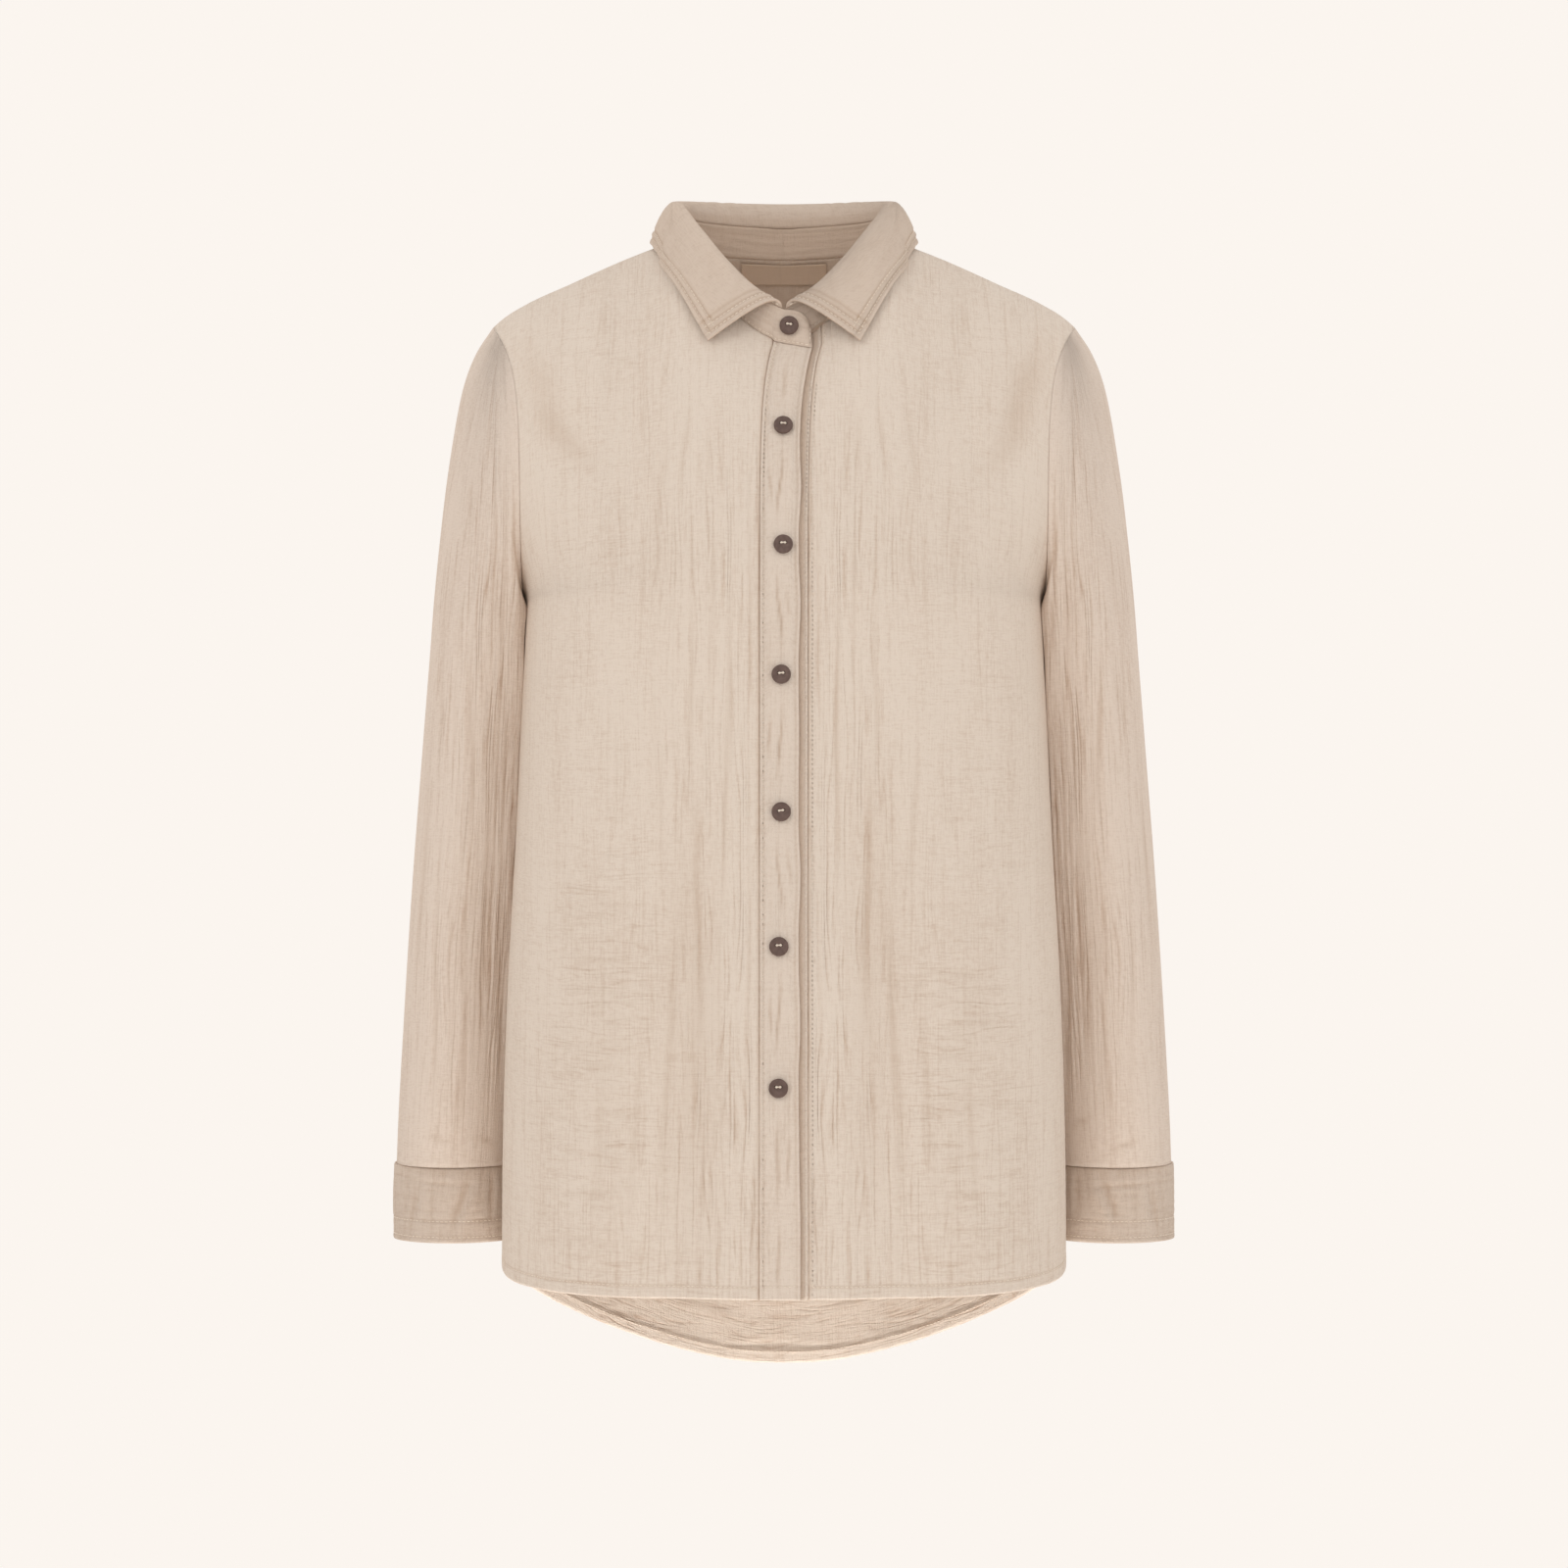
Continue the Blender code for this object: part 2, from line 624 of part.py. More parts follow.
def sleeve(name, is_right):
    stations = np.linspace(0, len(SLEEVE["armhole"]) - 1, SLEEVE_ROWS + 1)
    turns = np.linspace(0, 2 * np.pi, 2 * ROWS_ABOVE + 1)[:-1]
    turn, station = np.meshgrid(turns, stations)
    outer, normals = sleeve_normals(turn, station)
    for side, chosen in (("front", turns <= np.pi), ("back", turns > np.pi)):
        v = np.abs(1 - turns[chosen] / np.pi)
        _, across = with_normals(
            lambda a, b: body(side, a, b), np.ones_like(v), v, -TOWARDS[side]
        )
        agree = ease(((normals[0, chosen] * across).sum(axis=-1) - 0.3) / 0.4)[:, None]
        normals[0, chosen] = unit(normals[0, chosen] + agree * across)
    pull_back(outer, *FOOT_ROW, ARM_SEAM)
    if is_right:
        outer, normals = mirrored(outer), mirrored(normals)
    wall(name, outer, normals, CLOTH, "sleeve", wrap=True)


def cuff_shape(turn, down):
    """A plain closed band, a little wider at its foot."""
    grow = CUFF["flare"] * down
    x = CUFF["mid_x"] + (CUFF["half_x"] + grow) * np.cos(turn)
    y = CUFF["mid_y"] - (CUFF["half_y"] + grow) * np.sin(turn)
    return point(x, y, CUFF_TOP_Z - CUFF_HEIGHT * down)


def cuff(name, is_right):
    turns = np.linspace(0, 2 * np.pi, 2 * ROWS_ABOVE + 1)[:-1]
    turn, down = np.meshgrid(turns, np.linspace(0, 1, CUFF_ROWS + 1))
    outer, normals = with_normals(cuff_shape, turn, down, 1.0, 0.01, (-10, 0), (10, 1))
    if is_right:
        outer, normals = mirrored(outer), mirrored(normals)
    wall(name, outer, normals, CUFF_WALL, "cuff", wrap=True)


# ---------------------------------------------------------------- front closing


def band_shape(across, up, is_over):
    """A point of one of the two closing bands, on the base surface."""
    first, last = (BAND_SEAM - BAND_HALF, BAND_HALF) if is_over else (UNDER_BAND_FROM, UNDER_BAND_TO)
    offset = first + across * (last - first)
    top_x = band_x(NECK_FRONT_Z) + offset
    if is_over:
        top = OVER_NECK_Z + OVER_NECK_SLOPE * top_x - SEAM
    else:
        angle = 180 - np.degrees(np.arcsin(np.clip(np.abs(top_x) / NECK_WIDTH, 0, 1)))
        top = along_neck("z", angle) - SEAM
    z = FRONT_HEM_Z + up * (top - FRONT_HEM_Z)
    x = band_x(z) + offset
    return point(x, front_y(x, z), z)


def band(name, is_over):
    rows = (panel_rows() + 1) / 2
    rows = np.interp(rows, [0, 0.5, 1], [0, 0.72, 1])
    across, up = np.meshgrid(np.linspace(0, 1, BAND_COLUMNS + 1), rows)
    base, normals = with_normals(
        lambda a, b: band_shape(a, b, is_over), across, up, 1.0, 0.01, (0, 0), (1, 1)
    )
    outer = base + normals * (BAND_PROUD if is_over else UNDER_DEPTH)
    wall(name, outer, normals, BAND_WALL if is_over else UNDER_BAND_WALL, "band")


# ---------------------------------------------------------------- collar


def layer_depth(angle):
    """How far the stand lies off the base: under the closing at its left end, over it at its right."""
    under = UNDER_DEPTH * ease((angle - UNDER_SPREAD[0]) / UNDER_SPREAD[1])
    return under + BAND_PROUD * ease((-angle - OVER_SPREAD[0]) / OVER_SPREAD[1])


def stand_top(angle):
    """The top edge of the stand."""
    turn = np.radians(angle)
    lean = STAND_LEAN * np.cos(turn) * (0.5 + 0.5 * np.cos(turn))
    x = STAND_HALF_X * np.sin(turn)
    return point(x, along_neck("y", angle) + lean, along_neck("stand_z", angle))


def stand_shape(angle, up):
    """The collar stand, from its foot on the neckline (up = 0) to its top edge (up = 1)."""
    foot = neckline(angle)
    over = angle < OVER_FROM
    over_z = OVER_NECK_Z + OVER_NECK_SLOPE * foot[..., 0]
    foot[..., 1] = np.where(over, front_y(foot[..., 0], over_z), foot[..., 1])
    foot[..., 2] = np.where(over, over_z, foot[..., 2])
    top_z = np.where(np.abs(angle) > 180, NECKLINE["stand_z"][-1], along_neck("stand_z", angle))
    end = np.clip((foot[..., 0] - STAND_OVER_X) / STAND_ROUND + 1, 0, 0.995) * (angle < -180)
    top_z = top_z - STAND_ROUND * (1 - np.sqrt(1 - end**2))
    top = stand_top(angle)
    top[..., 2] = top_z
    return foot + up[..., None] * (top - foot)


def stand_ends():
    over = -180 - np.degrees(np.arcsin(STAND_OVER_X / NECK_WIDTH))
    under = 180 + np.degrees(np.arcsin(-STAND_UNDER_X / NECK_WIDTH))
    return over, under


def collar_stand():
    first, last = stand_ends()
    angle, up = np.meshgrid(
        np.linspace(first, last, STAND_COLUMNS + 1), np.linspace(0, 1, STAND_ROWS + 1)
    )
    outer, normals = with_normals(
        stand_shape, angle, up, -1.0, 0.02, (first, 0), (last, 1)
    )
    normals = unit(normals * (1, 1, 0))
    outer = outer + normals * layer_depth(angle)[..., None]
    pull_back(outer, *FOOT_ROW, NECK_SEAM)
    wall("collar_stand", outer, normals, DOUBLED, "collar")


def above_front(points, gap):
    """Points moved off the front, along its normal, until they are this far from it."""
    x, y, z = np.moveaxis(points, -1, 0)
    near = front_y(x, z)
    slope_x = (front_y(x + 1, z) - front_y(x - 1, z)) / 2
    slope_z = (front_y(x, z + 1) - front_y(x, z - 1)) / 2
    normal = unit(point(slope_x, -1, slope_z))
    off = (near - y) * -normal[..., 1]
    return points + normal * np.maximum(gap - off, 0)[..., None]


def fall_edge(share):
    """The free edge of the collar's leaf: round the back, then straight to the tip."""
    turn = np.pi * np.minimum(share, 0.5)
    behind = point(
        FALL_SIDE_X * np.sin(turn),
        FALL_SIDE_Y + (FALL_BACK_Y - FALL_SIDE_Y) * np.cos(turn),
        FALL_BACK_Z + (FALL_SIDE_Z - FALL_BACK_Z) * np.sin(turn),
    )
    along = np.clip(2 * share - 1, 0, 1)
    x = FALL_SIDE_X + along * (TIP_X - FALL_SIDE_X)
    z = FALL_SIDE_Z + along * (TIP_Z - FALL_SIDE_Z)
    start = point(FALL_SIDE_X, FALL_SIDE_Y, FALL_SIDE_Z)
    on_front = above_front(point(x, front_y(x, z), z), DOUBLED + LEAF_CLEAR + 2 * along)
    ahead = start + ease(6 * along)[..., None] * (on_front - start)
    return np.where((share < 0.5)[..., None], behind, ahead)


def fall_shape(share, across):
    """Half of the collar's leaf: up from the stand, over the roll line and down to its free edge."""
    angle = 180 * share
    turn = np.radians(angle)
    outwards = point(np.sin(turn), np.cos(turn), 0)
    near_end = ease((share - 0.8) / 0.2)
    top = stand_top(angle) + point(CENTRE_GAP_X * near_end, 0, FALL_SEAM + END_LIFT * near_end)
    foot = top - DOUBLED * outwards
    edge = fall_edge(share)
    rise = along_neck("roll_z", angle) - top[..., 2]
    in_front = ease((share - 0.5) / 0.3)
    lift = LEAF["rise"] * rise + LEAF["lift"] + LEAF["front_lift"] * in_front
    first = foot + point(0, 0, lift)
    spread = LEAF["spread"] + LEAF["front_spread"] * in_front
    second = edge + spread[..., None] * (top - edge)
    second[..., 2] = second[..., 2] + LEAF["rise"] * rise + LEAF["back_lift"] * (1 - near_end)
    second = second + outwards * (LEAF["out"] + LEAF["front_out"] * near_end)[..., None]
    leaf = bezier(foot, first, second, edge, across)
    over_front = ease((share - 0.5) / 0.06) * ease((across - 0.3) / 0.3)
    raised = above_front(leaf, (DOUBLED + LEAF_CLEAR) * over_front)
    return np.where((over_front > 0)[..., None], raised, leaf)


def collar_fall():
    half = np.linspace(0, 1, FALL_COLUMNS // 2 + 1)
    across = np.linspace(0, 1, FALL_ROWS + 1) ** 1.25
    share, down = np.meshgrid(half, across)
    outer, normals = with_normals(fall_shape, share, down, 1.0, 0.004, (0, 0), (1, 1))
    turn = np.pi * half
    normals[0] = -point(np.sin(turn), np.cos(turn), 0)
    outer = np.concatenate([mirrored(outer[:, :0:-1]), outer], axis=1)
    normals = np.concatenate([mirrored(normals[:, :0:-1]), normals], axis=1)
    wall("collar_fall", outer, normals, DOUBLED, "collar")


# ---------------------------------------------------------------- label and buttons


def label():
    """A blank neck label on the inner face of the back panel."""
    rows = np.linspace(LABEL_FROM, LABEL_TO, 4)
    x = np.linspace(-LABEL_HALF_WIDTH, LABEL_HALF_WIDTH, 7)
    u = share_at("back", np.broadcast_to(np.abs(x), (len(rows), len(x))), rows)
    v = np.broadcast_to(rows[:, None], u.shape)
    points, normals = with_normals(lambda a, b: body("back", a, b), u, v, -1.0)
    sign = np.where(x < 0, -1.0, 1.0)[None, :, None] * (1, 0, 0) + np.array((0, 1, 1))
    points, normals = points * sign, normals * sign
    outer = points - normals * (CLOTH + LABEL_LIFT)
    wall("label", outer, normals, LABEL_WALL, "label")


BUTTON_PROFILE = table(
    "radius depth",  # depth from the front of the rim
    [(0.55, 0.20), (0.80, 0.0), (0.96, 0.18), (1.0, 0.45), (0.92, 0.85), (0.70, 1.0)],
)


def button(name, x, z, on_stand):
    """A turned button with a dished face, flat against the closing."""
    if on_stand:
        angle = np.array([-180 - np.degrees(np.arcsin(x / NECK_WIDTH))])
        middle, facing = with_normals(
            stand_shape, angle, np.array([0.5]), -1.0, 0.5, (stand_ends()[0], 0), (0, 1)
        )
        facing = unit(facing[0] * (1, 1, 0))
        here = np.array((*middle[0, :2], z))
    else:
        reach = BUTTON_RADIUS * np.array([0, 1, -1, 0, 0])
        sample_x, sample_z = x + reach, z + reach[[0, 3, 4, 1, 2]]
        place = point(sample_x, front_y(sample_x, sample_z), sample_z)
        facing = unit(np.cross(place[1] - place[2], place[3] - place[4]))
        here = place[0] + facing * max(0.0, ((place - place[0]) @ facing).max())
    base = here + facing * (BAND_PROUD + BUTTON_LIFT)
    right = unit(np.cross(facing, (0, 0, 1)))
    upwards = np.cross(right, facing)
    turn = np.linspace(0, 2 * np.pi, BUTTON_SIDES + 1)[:-1]
    radius = BUTTON_RADIUS * BUTTON_PROFILE["radius"][:, None, None]
    height = BUTTON_THICK * (1 - BUTTON_PROFILE["depth"])[:, None, None]
    spoke = np.cos(turn)[:, None] * right + np.sin(turn)[:, None] * upwards
    rings = base + radius * spoke[None] + height * facing
    vertices = rings.reshape(-1, 3)
    faces = quads(len(rings), BUTTON_SIDES, 0, True, False)
    faces.append(tuple(range(BUTTON_SIDES))[::-1])
    faces.append(tuple(range(len(vertices) - BUTTON_SIDES, len(vertices))))
    corners = [vertices[list(face[:3])] for face in faces]
    if np.linalg.det(np.array(corners) - base).sum() < 0:
        faces = [tuple(reversed(face)) for face in faces]
    make_object(name, vertices, faces, "button", roughness=0.35)


# ---------------------------------------------------------------- the blouse


def main():
    for old in list(bpy.data.objects):
        bpy.data.objects.remove(old)
    front("front_right", True)
    front("front_left", False)
    back()
    for side, is_right in (("right", True), ("left", False)):
        sleeve("sleeve_" + side, is_right)
        cuff("cuff_" + side, is_right)
    collar_stand()
    collar_fall()
    band("buttonhole_band", True)
    band("button_band", False)
    label()
    for i, (x, z) in enumerate(zip(BUTTONS["x"], BUTTONS["z"])):
        button("button_" + str(i + 1), x, z, i == 0)


main()
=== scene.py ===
# %% [markdown]
# # A muslin blouse
# The blouse is cut from crinkled double gauze: two thin layers of cotton, woven together at points and
# washed, so that the cloth shrinks into fine lengthwise lines. Here it hangs filled out, as if
# someone invisible wore it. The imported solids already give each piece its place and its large
# shape. This lesson makes the cloth that shows: the same surfaces on a much finer grid, with
# creases, seams, hems and stitches, and the finish of the cloth itself.
#
# Every length is in millimetres until a mesh is made. X runs to the wearer's left, -Y to the
# front and Z up, and the origin lies between the high points of the shoulders.

import bpy
import mathutils
import numpy as np
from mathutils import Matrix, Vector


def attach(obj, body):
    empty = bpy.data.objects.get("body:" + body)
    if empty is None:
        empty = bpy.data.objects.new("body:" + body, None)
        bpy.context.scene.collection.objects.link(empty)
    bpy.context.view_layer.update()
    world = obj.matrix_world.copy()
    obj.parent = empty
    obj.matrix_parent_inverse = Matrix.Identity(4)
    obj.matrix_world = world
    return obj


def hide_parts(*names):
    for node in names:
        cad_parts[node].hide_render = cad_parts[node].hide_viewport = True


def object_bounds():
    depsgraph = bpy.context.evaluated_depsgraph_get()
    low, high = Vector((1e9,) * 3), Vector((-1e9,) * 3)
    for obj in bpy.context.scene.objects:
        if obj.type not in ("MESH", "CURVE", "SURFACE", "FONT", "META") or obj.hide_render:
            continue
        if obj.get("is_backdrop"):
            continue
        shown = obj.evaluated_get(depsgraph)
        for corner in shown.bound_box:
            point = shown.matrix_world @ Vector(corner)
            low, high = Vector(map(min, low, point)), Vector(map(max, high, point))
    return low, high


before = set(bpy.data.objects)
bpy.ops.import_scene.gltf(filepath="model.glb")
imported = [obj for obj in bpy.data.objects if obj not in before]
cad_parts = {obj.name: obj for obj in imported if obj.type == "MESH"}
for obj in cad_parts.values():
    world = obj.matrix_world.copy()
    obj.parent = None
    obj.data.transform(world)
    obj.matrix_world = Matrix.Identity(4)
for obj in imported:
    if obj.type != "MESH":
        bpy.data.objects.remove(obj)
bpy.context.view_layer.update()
MM = 0.001


# %% [markdown]
# ## Small tools for smooth shapes
# A cut garment is described by a few measures at a few heights. What lies between them is a smooth
# curve. A spline object could hold such a curve, but a function works on whole arrays at once, and
# that is what a fine grid needs.

# %% Tables, curves and vectors
def table(names, rows):
    """The named columns of a short table."""
    return dict(zip(names.split(), np.array(rows, float).T))


def rows_of(columns):
    """The rows of such a table, each with its values by name."""
    return [dict(zip(columns, row)) for row in zip(*columns.values())]


def curve(knots, values, at):
    """A smooth curve through a table: cubic pieces whose slope at a knot follows its neighbours."""
    slope = np.gradient(values, knots)
    at = np.clip(at, knots[0], knots[-1])
    i = np.clip(np.searchsorted(knots, at) - 1, 0, len(knots) - 2)
    step = knots[i + 1] - knots[i]
    t = (at - knots[i]) / step
    start = (1 + 2 * t) * (1 - t) ** 2 * values[i] + t * (1 - t) ** 2 * step * slope[i]
    end = t * t * (3 - 2 * t) * values[i + 1] + t * t * (t - 1) * step * slope[i + 1]
    return start + end


def ease(x):
    """0 to 1 with a level start and end: 3 x squared - 2 x cubed."""
    x = np.clip(x, 0, 1)
    return x * x * (3 - 2 * x)


def hill(x):
    """A soft hill: e to the power of minus x squared."""
    return np.exp(-np.square(x))


def corner(x):
    """How far a round corner has come in: 0 to 1 along a quarter of a circle, as x goes from 0 to 1."""
    return 1 - np.sqrt(np.clip(1 - np.clip(x, 0, 1) ** 2, 0, 1))


def unit(vectors):
    """Each vector divided by its length."""
    return vectors / np.maximum(np.linalg.norm(vectors, axis=-1, keepdims=True), 1e-12)


def point(x, y, z):
    """Three arrays of coordinates as one array of points."""
    return np.stack(np.broadcast_arrays(x, y, z), axis=-1).astype(float)


def bezier(p0, p1, p2, p3, t):
    """The cubic curve from p0 to p3 with handles p1 and p2, at t."""
    t = np.asarray(t)[..., None]
    return (1 - t) ** 3 * p0 + 3 * t * (1 - t) ** 2 * p1 + 3 * t * t * (1 - t) * p2 + t**3 * p3


def with_normals(shape, u, v, outwards=1.0, step=0.003, lowest=(0, -1), highest=(1, 1)):
    """Points of shape(u, v) and their unit normals: the cross product of a small step each way."""
    u0, u1 = np.clip(u - step, lowest[0], highest[0]), np.clip(u + step, lowest[0], highest[0])
    v0, v1 = np.clip(v - step, lowest[1], highest[1]), np.clip(v + step, lowest[1], highest[1])
    across = shape(u1, v) - shape(u0, v)
    along = shape(u, v1) - shape(u, v0)
    return shape(u, v), outwards * unit(np.cross(across, along))


def mirrored(vectors):
    """The same on the other side of the centre line: x changes its sign."""
    return vectors * (-1, 1, 1)


# %% [markdown]
# ## The body of the blouse
# Below the underarm a filled-out body is a rounded oval at each height, wider at the side seams
# than it is deep. Above it each column of the cloth leans inwards, over the chest and shoulder, to
# the neckline and the shoulder seam. The armhole cuts that surface off at the side. Cloth
# simulation on a figure could find such a shape, but then the panels would not meet the solids.
# So the body is one formula with a share u, from the centre line to the side, and a height v, from
# the hem at -1 over the chest at 0 to the top at 1.

# %% Measures of the body
TORSO = table(
    "z half_width front back",
    [
        (-790, 191.0, 138, 130),
        (-700, 191.0, 138, 130),
        (-600, 190.3, 134, 122),
        (-500, 187.0, 130, 116),
        (-400, 181.5, 124, 108),
        (-320, 178.0, 122, 108),
        (-248, 175.5, 122, 112),
    ],
)
CHEST_Z = -248.0
ROUNDNESS = {"front": 2.5, "back": 2.2}  # exponent of the oval section
TOWARDS = {"front": -1.0, "back": 1.0}  # sign of y
FRONT_HEM_Z, FRONT_HEM_RISE = -700.0, 10.0
SIDE_HEM_Z, BACK_HEM_DROP = -690.0, 92.0
NECK_WIDTH, NECK_MID_Y = 75.0, -16.0
NECKLINE = table(  # by the angle from the centre of the back
    "angle y z stand_z roll_z",
    [
        (0, 46, -6, 16, 35),
        (45, 28, -4, 17, 34),
        (90, -16, -1, 16, 27),
        (110, -36.5, -5, 13, 22.5),
        (130, -54, -27, -4, 2.5),
        (150, -67, -51, -28.5, -21.5),
        (165, -74, -67.5, -45.5, -38),
        (180, -78, -78, -55.5, -49.5),
    ],
)
SHOULDER = table(
    "x z",
    [(75, -1), (110, -14), (145, -29), (176, -42.7), (190, -51), (198, -58)],
)
NECK_SHARE = 0.42  # part of a panel's top edge that is neckline
LEAN = {  # direction in which a panel arrives at its top edge
    side: table("share x y z", [first, (NECK_SHARE, -0.1, 0.95, 0.3), (0.6, 0, 1, 0), (1, 0, 1, 0)])
    for side, first in {"front": (0, 0, 0.5, 0.87), "back": (0, 0, 0.75, 0.66)}.items()
}
CHEST_HANDLE, TOP_HANDLE = 70.0, 42.0
ARM_MID_Z, ARM_HALF_HEIGHT = -152.5, 94.5
ARM_X, ARM_FLARE, ARM_FLARE_RUN = 175.5, 22.5, 28.0
ARM_DEPTH = {"front": 55.0, "back": 58.0}
ARM_TILT, ARM_RUN = 0.25, 222.0
FOLDS = {  # the large soft folds, as they are in the solids
    "front": [
        (62, 70, -330, -900, 260, 26, -6.0),
        (108, 118, -330, -900, 260, 26, 5.0),
        (184, 128, -72, -190, 40, 15, -3.5),
    ],
    "back": [
        (30, 34, -300, -900, 280, 27, -5.0),
        (84, 88, -260, -900, 300, 30, 5.5),
        (132, 126, -330, -900, 240, 24, -5.0),
        (186, 132, -80, -200, 45, 16, -3.0),
    ],
}


# %% The surface of the body
def oval(angle, half_x, half_y, exponent):
    """A quarter of a rounded oval: sine and cosine of the angle to the power 2 / exponent."""
    power = 2 / exponent
    return half_x * np.sin(angle) ** power, half_y * np.abs(np.cos(angle)) ** power


def equal_steps(side):
    """The oval's angle against the share of its length, at the chest."""
    angle = np.linspace(0, np.pi / 2, 2000)
    x, y = oval(angle, TORSO["half_width"][-1], TORSO[side][-1], ROUNDNESS[side])
    length = np.concatenate([[0], np.cumsum(np.hypot(np.diff(x), np.diff(y)))])
    return length / length[-1], angle


STEPS = {side: equal_steps(side) for side in TOWARDS}


def below_chest(side, u, z):
    """The body at share u from its centre line to its side seam, at height z."""
    angle = np.interp(u, *STEPS[side])
    half_width = curve(TORSO["z"], TORSO["half_width"], z)
    depth = curve(TORSO["z"], TORSO[side], z)
    x, y = oval(angle, half_width, depth, ROUNDNESS[side])
    return point(x, TOWARDS[side] * y, z)


def along_neck(column, angle):
    """A value along the neckline; angles past the centre front run back up the other side."""
    angle = np.abs(angle)
    return curve(NECKLINE["angle"], NECKLINE[column], np.where(angle > 180, 360 - angle, angle))


def neckline(angle):
    """The neckline seam: half its width times the sine of the angle, and its depth and height."""
    x = NECK_WIDTH * np.sin(np.radians(angle))
    return point(x, along_neck("y", angle), along_neck("z", angle))


def top_edge(side, u):
    """Neckline from the centre to the shoulder, then the shoulder seam to its tip."""
    around = 90 * np.clip(u / NECK_SHARE, 0, 1)
    neck = neckline(180 - around if side == "front" else around)
    along = np.clip((u - NECK_SHARE) / (1 - NECK_SHARE), 0, 1)
    x = SHOULDER["x"][0] + along * (SHOULDER["x"][-1] - SHOULDER["x"][0])
    seam = point(x, NECK_MID_Y * (1 - along), curve(SHOULDER["x"], SHOULDER["z"], x))
    return np.where((np.asarray(u) < NECK_SHARE)[..., None], neck, seam)


def yoke(side, u, t):
    """The body above the chest: a cubic curve from the chest up, leaning over to the top edge."""
    foot = below_chest(side, u, CHEST_Z)
    rise = foot - below_chest(side, u, CHEST_Z - 1)
    top = top_edge(side, u)
    lean = LEAN[side]
    arrive = [np.interp(u, lean["share"], lean[axis]) for axis in "xyz"]
    arrive = unit(point(arrive[0], -TOWARDS[side] * arrive[1], arrive[2]))
    return bezier(foot, foot + CHEST_HANDLE * rise, top - TOP_HANDLE * arrive, top, t)


def armhole(side, v):
    """The armhole seam from the underarm (v = 0) to the shoulder tip (v = 1): half an oval."""
    turn = np.pi * (1 - v)
    z = ARM_MID_Z + ARM_HALF_HEIGHT * np.cos(turn)
    x = ARM_X + ARM_FLARE * np.exp((z - SHOULDER["z"][-1]) / ARM_FLARE_RUN)
    y = TOWARDS[side] * ARM_DEPTH[side] * np.sin(turn) * (1 - ARM_TILT * np.cos(turn))
    return point(x, y, z)


def armhole_fit(side):
    """Where the armhole crosses the columns of the yoke: share, height along it and what is left."""
    v = np.linspace(0, 1, 121)
    goal = armhole(side, v)
    share = 1 - np.abs(goal[:, 1]) / ARM_RUN
    low, high = np.zeros_like(v), np.ones_like(v)
    for _ in range(30):
        middle = (low + high) / 2
        above = yoke(side, share, middle)[:, 2] > goal[:, 2]
        high = np.where(above, middle, high)
        low = np.where(above, low, middle)
    return v, share, high, goal - yoke(side, share, high)


ARM_FIT = {side: armhole_fit(side) for side in TOWARDS}


def hem(side, u):
    """Height of the hem: nearly level in front, and a round drop towards the centre of the back."""
    if side == "front":
        return FRONT_HEM_Z + FRONT_HEM_RISE * u**6
    return SIDE_HEM_Z - BACK_HEM_DROP * np.cos(np.pi / 2 * np.clip(u, 0, 1)) ** 1.1


def plain_body(side, u, v):
    """Half of the body with no folds, from the hem (v = -1) over the chest (0) to the top (1)."""
    u, v = np.broadcast_arrays(np.asarray(u, float), np.asarray(v, float))
    down = np.clip(v, -1, 0)
    lower = below_chest(side, u, CHEST_Z + down * (CHEST_Z - hem(side, u)))
    up = np.clip(v, 0, 1)
    known, share, height, left = ARM_FIT[side]
    share = np.interp(up, known, share)
    height = np.interp(up, known, height)
    left = np.stack([np.interp(up, known, left[:, i]) for i in range(3)], axis=-1)
    upper = yoke(side, u * share, up + u * (height - up)) + u[..., None] ** 2 * left
    return np.where((v < 0)[..., None], lower, upper)


def fold_height(side, points, u):
    """How far the soft folds stand off the plain body; they fade towards the side and the armhole."""
    x, z = points[..., 0], points[..., 2]
    total = np.zeros(x.shape)
    for f in rows_of(table("x_top x_foot z_top z_foot fade half_width height", FOLDS[side])):
        down = (f["z_top"] - z) / (f["z_top"] - max(f["z_foot"], FRONT_HEM_Z))
        middle = f["x_top"] + down * (f["x_foot"] - f["x_top"])
        fade = ease((f["z_top"] - z) / f["fade"]) * ease((z - f["z_foot"]) / f["fade"])
        total += f["height"] * fade * ease(1 - np.abs(x - middle) / (2 * f["half_width"]))
    return total * ease((1 - u) / 0.12)


def body(side, u, v):
    """Half of the outer face of the body: the plain body moved out along its normals by the folds."""
    u, v = np.broadcast_arrays(np.asarray(u, float), np.asarray(v, float))
    points, normals = with_normals(lambda a, b: plain_body(side, a, b), u, v, -TOWARDS[side])
    return points + normals * fold_height(side, points, u)[..., None]


def share_at(side, x, v):
    """The share u at which a panel has these distances x from the centre, row by row."""
    samples = np.linspace(0, 0.6, 121)
    known = plain_body(side, samples[None, :], v[:, None])[..., 0]
    return np.array([np.interp(x[i], known[i], samples) for i in range(len(v))])


def closing_share(edge, v):
    """The share u of an edge of the closing, given as a distance x for each height z."""
    z = plain_body("front", 0.0, v)[:, 2]
    for _ in range(4):
        share = share_at("front", edge(z), v)
        z = plain_body("front", share, v)[:, 2]
    return share


FIELD_ROWS = np.concatenate([np.linspace(-1, 0, 60)[:-1], np.linspace(0, 1, 60)])
FIELD = body("front", np.linspace(0, 1, 120)[None, :], FIELD_ROWS[:, None])


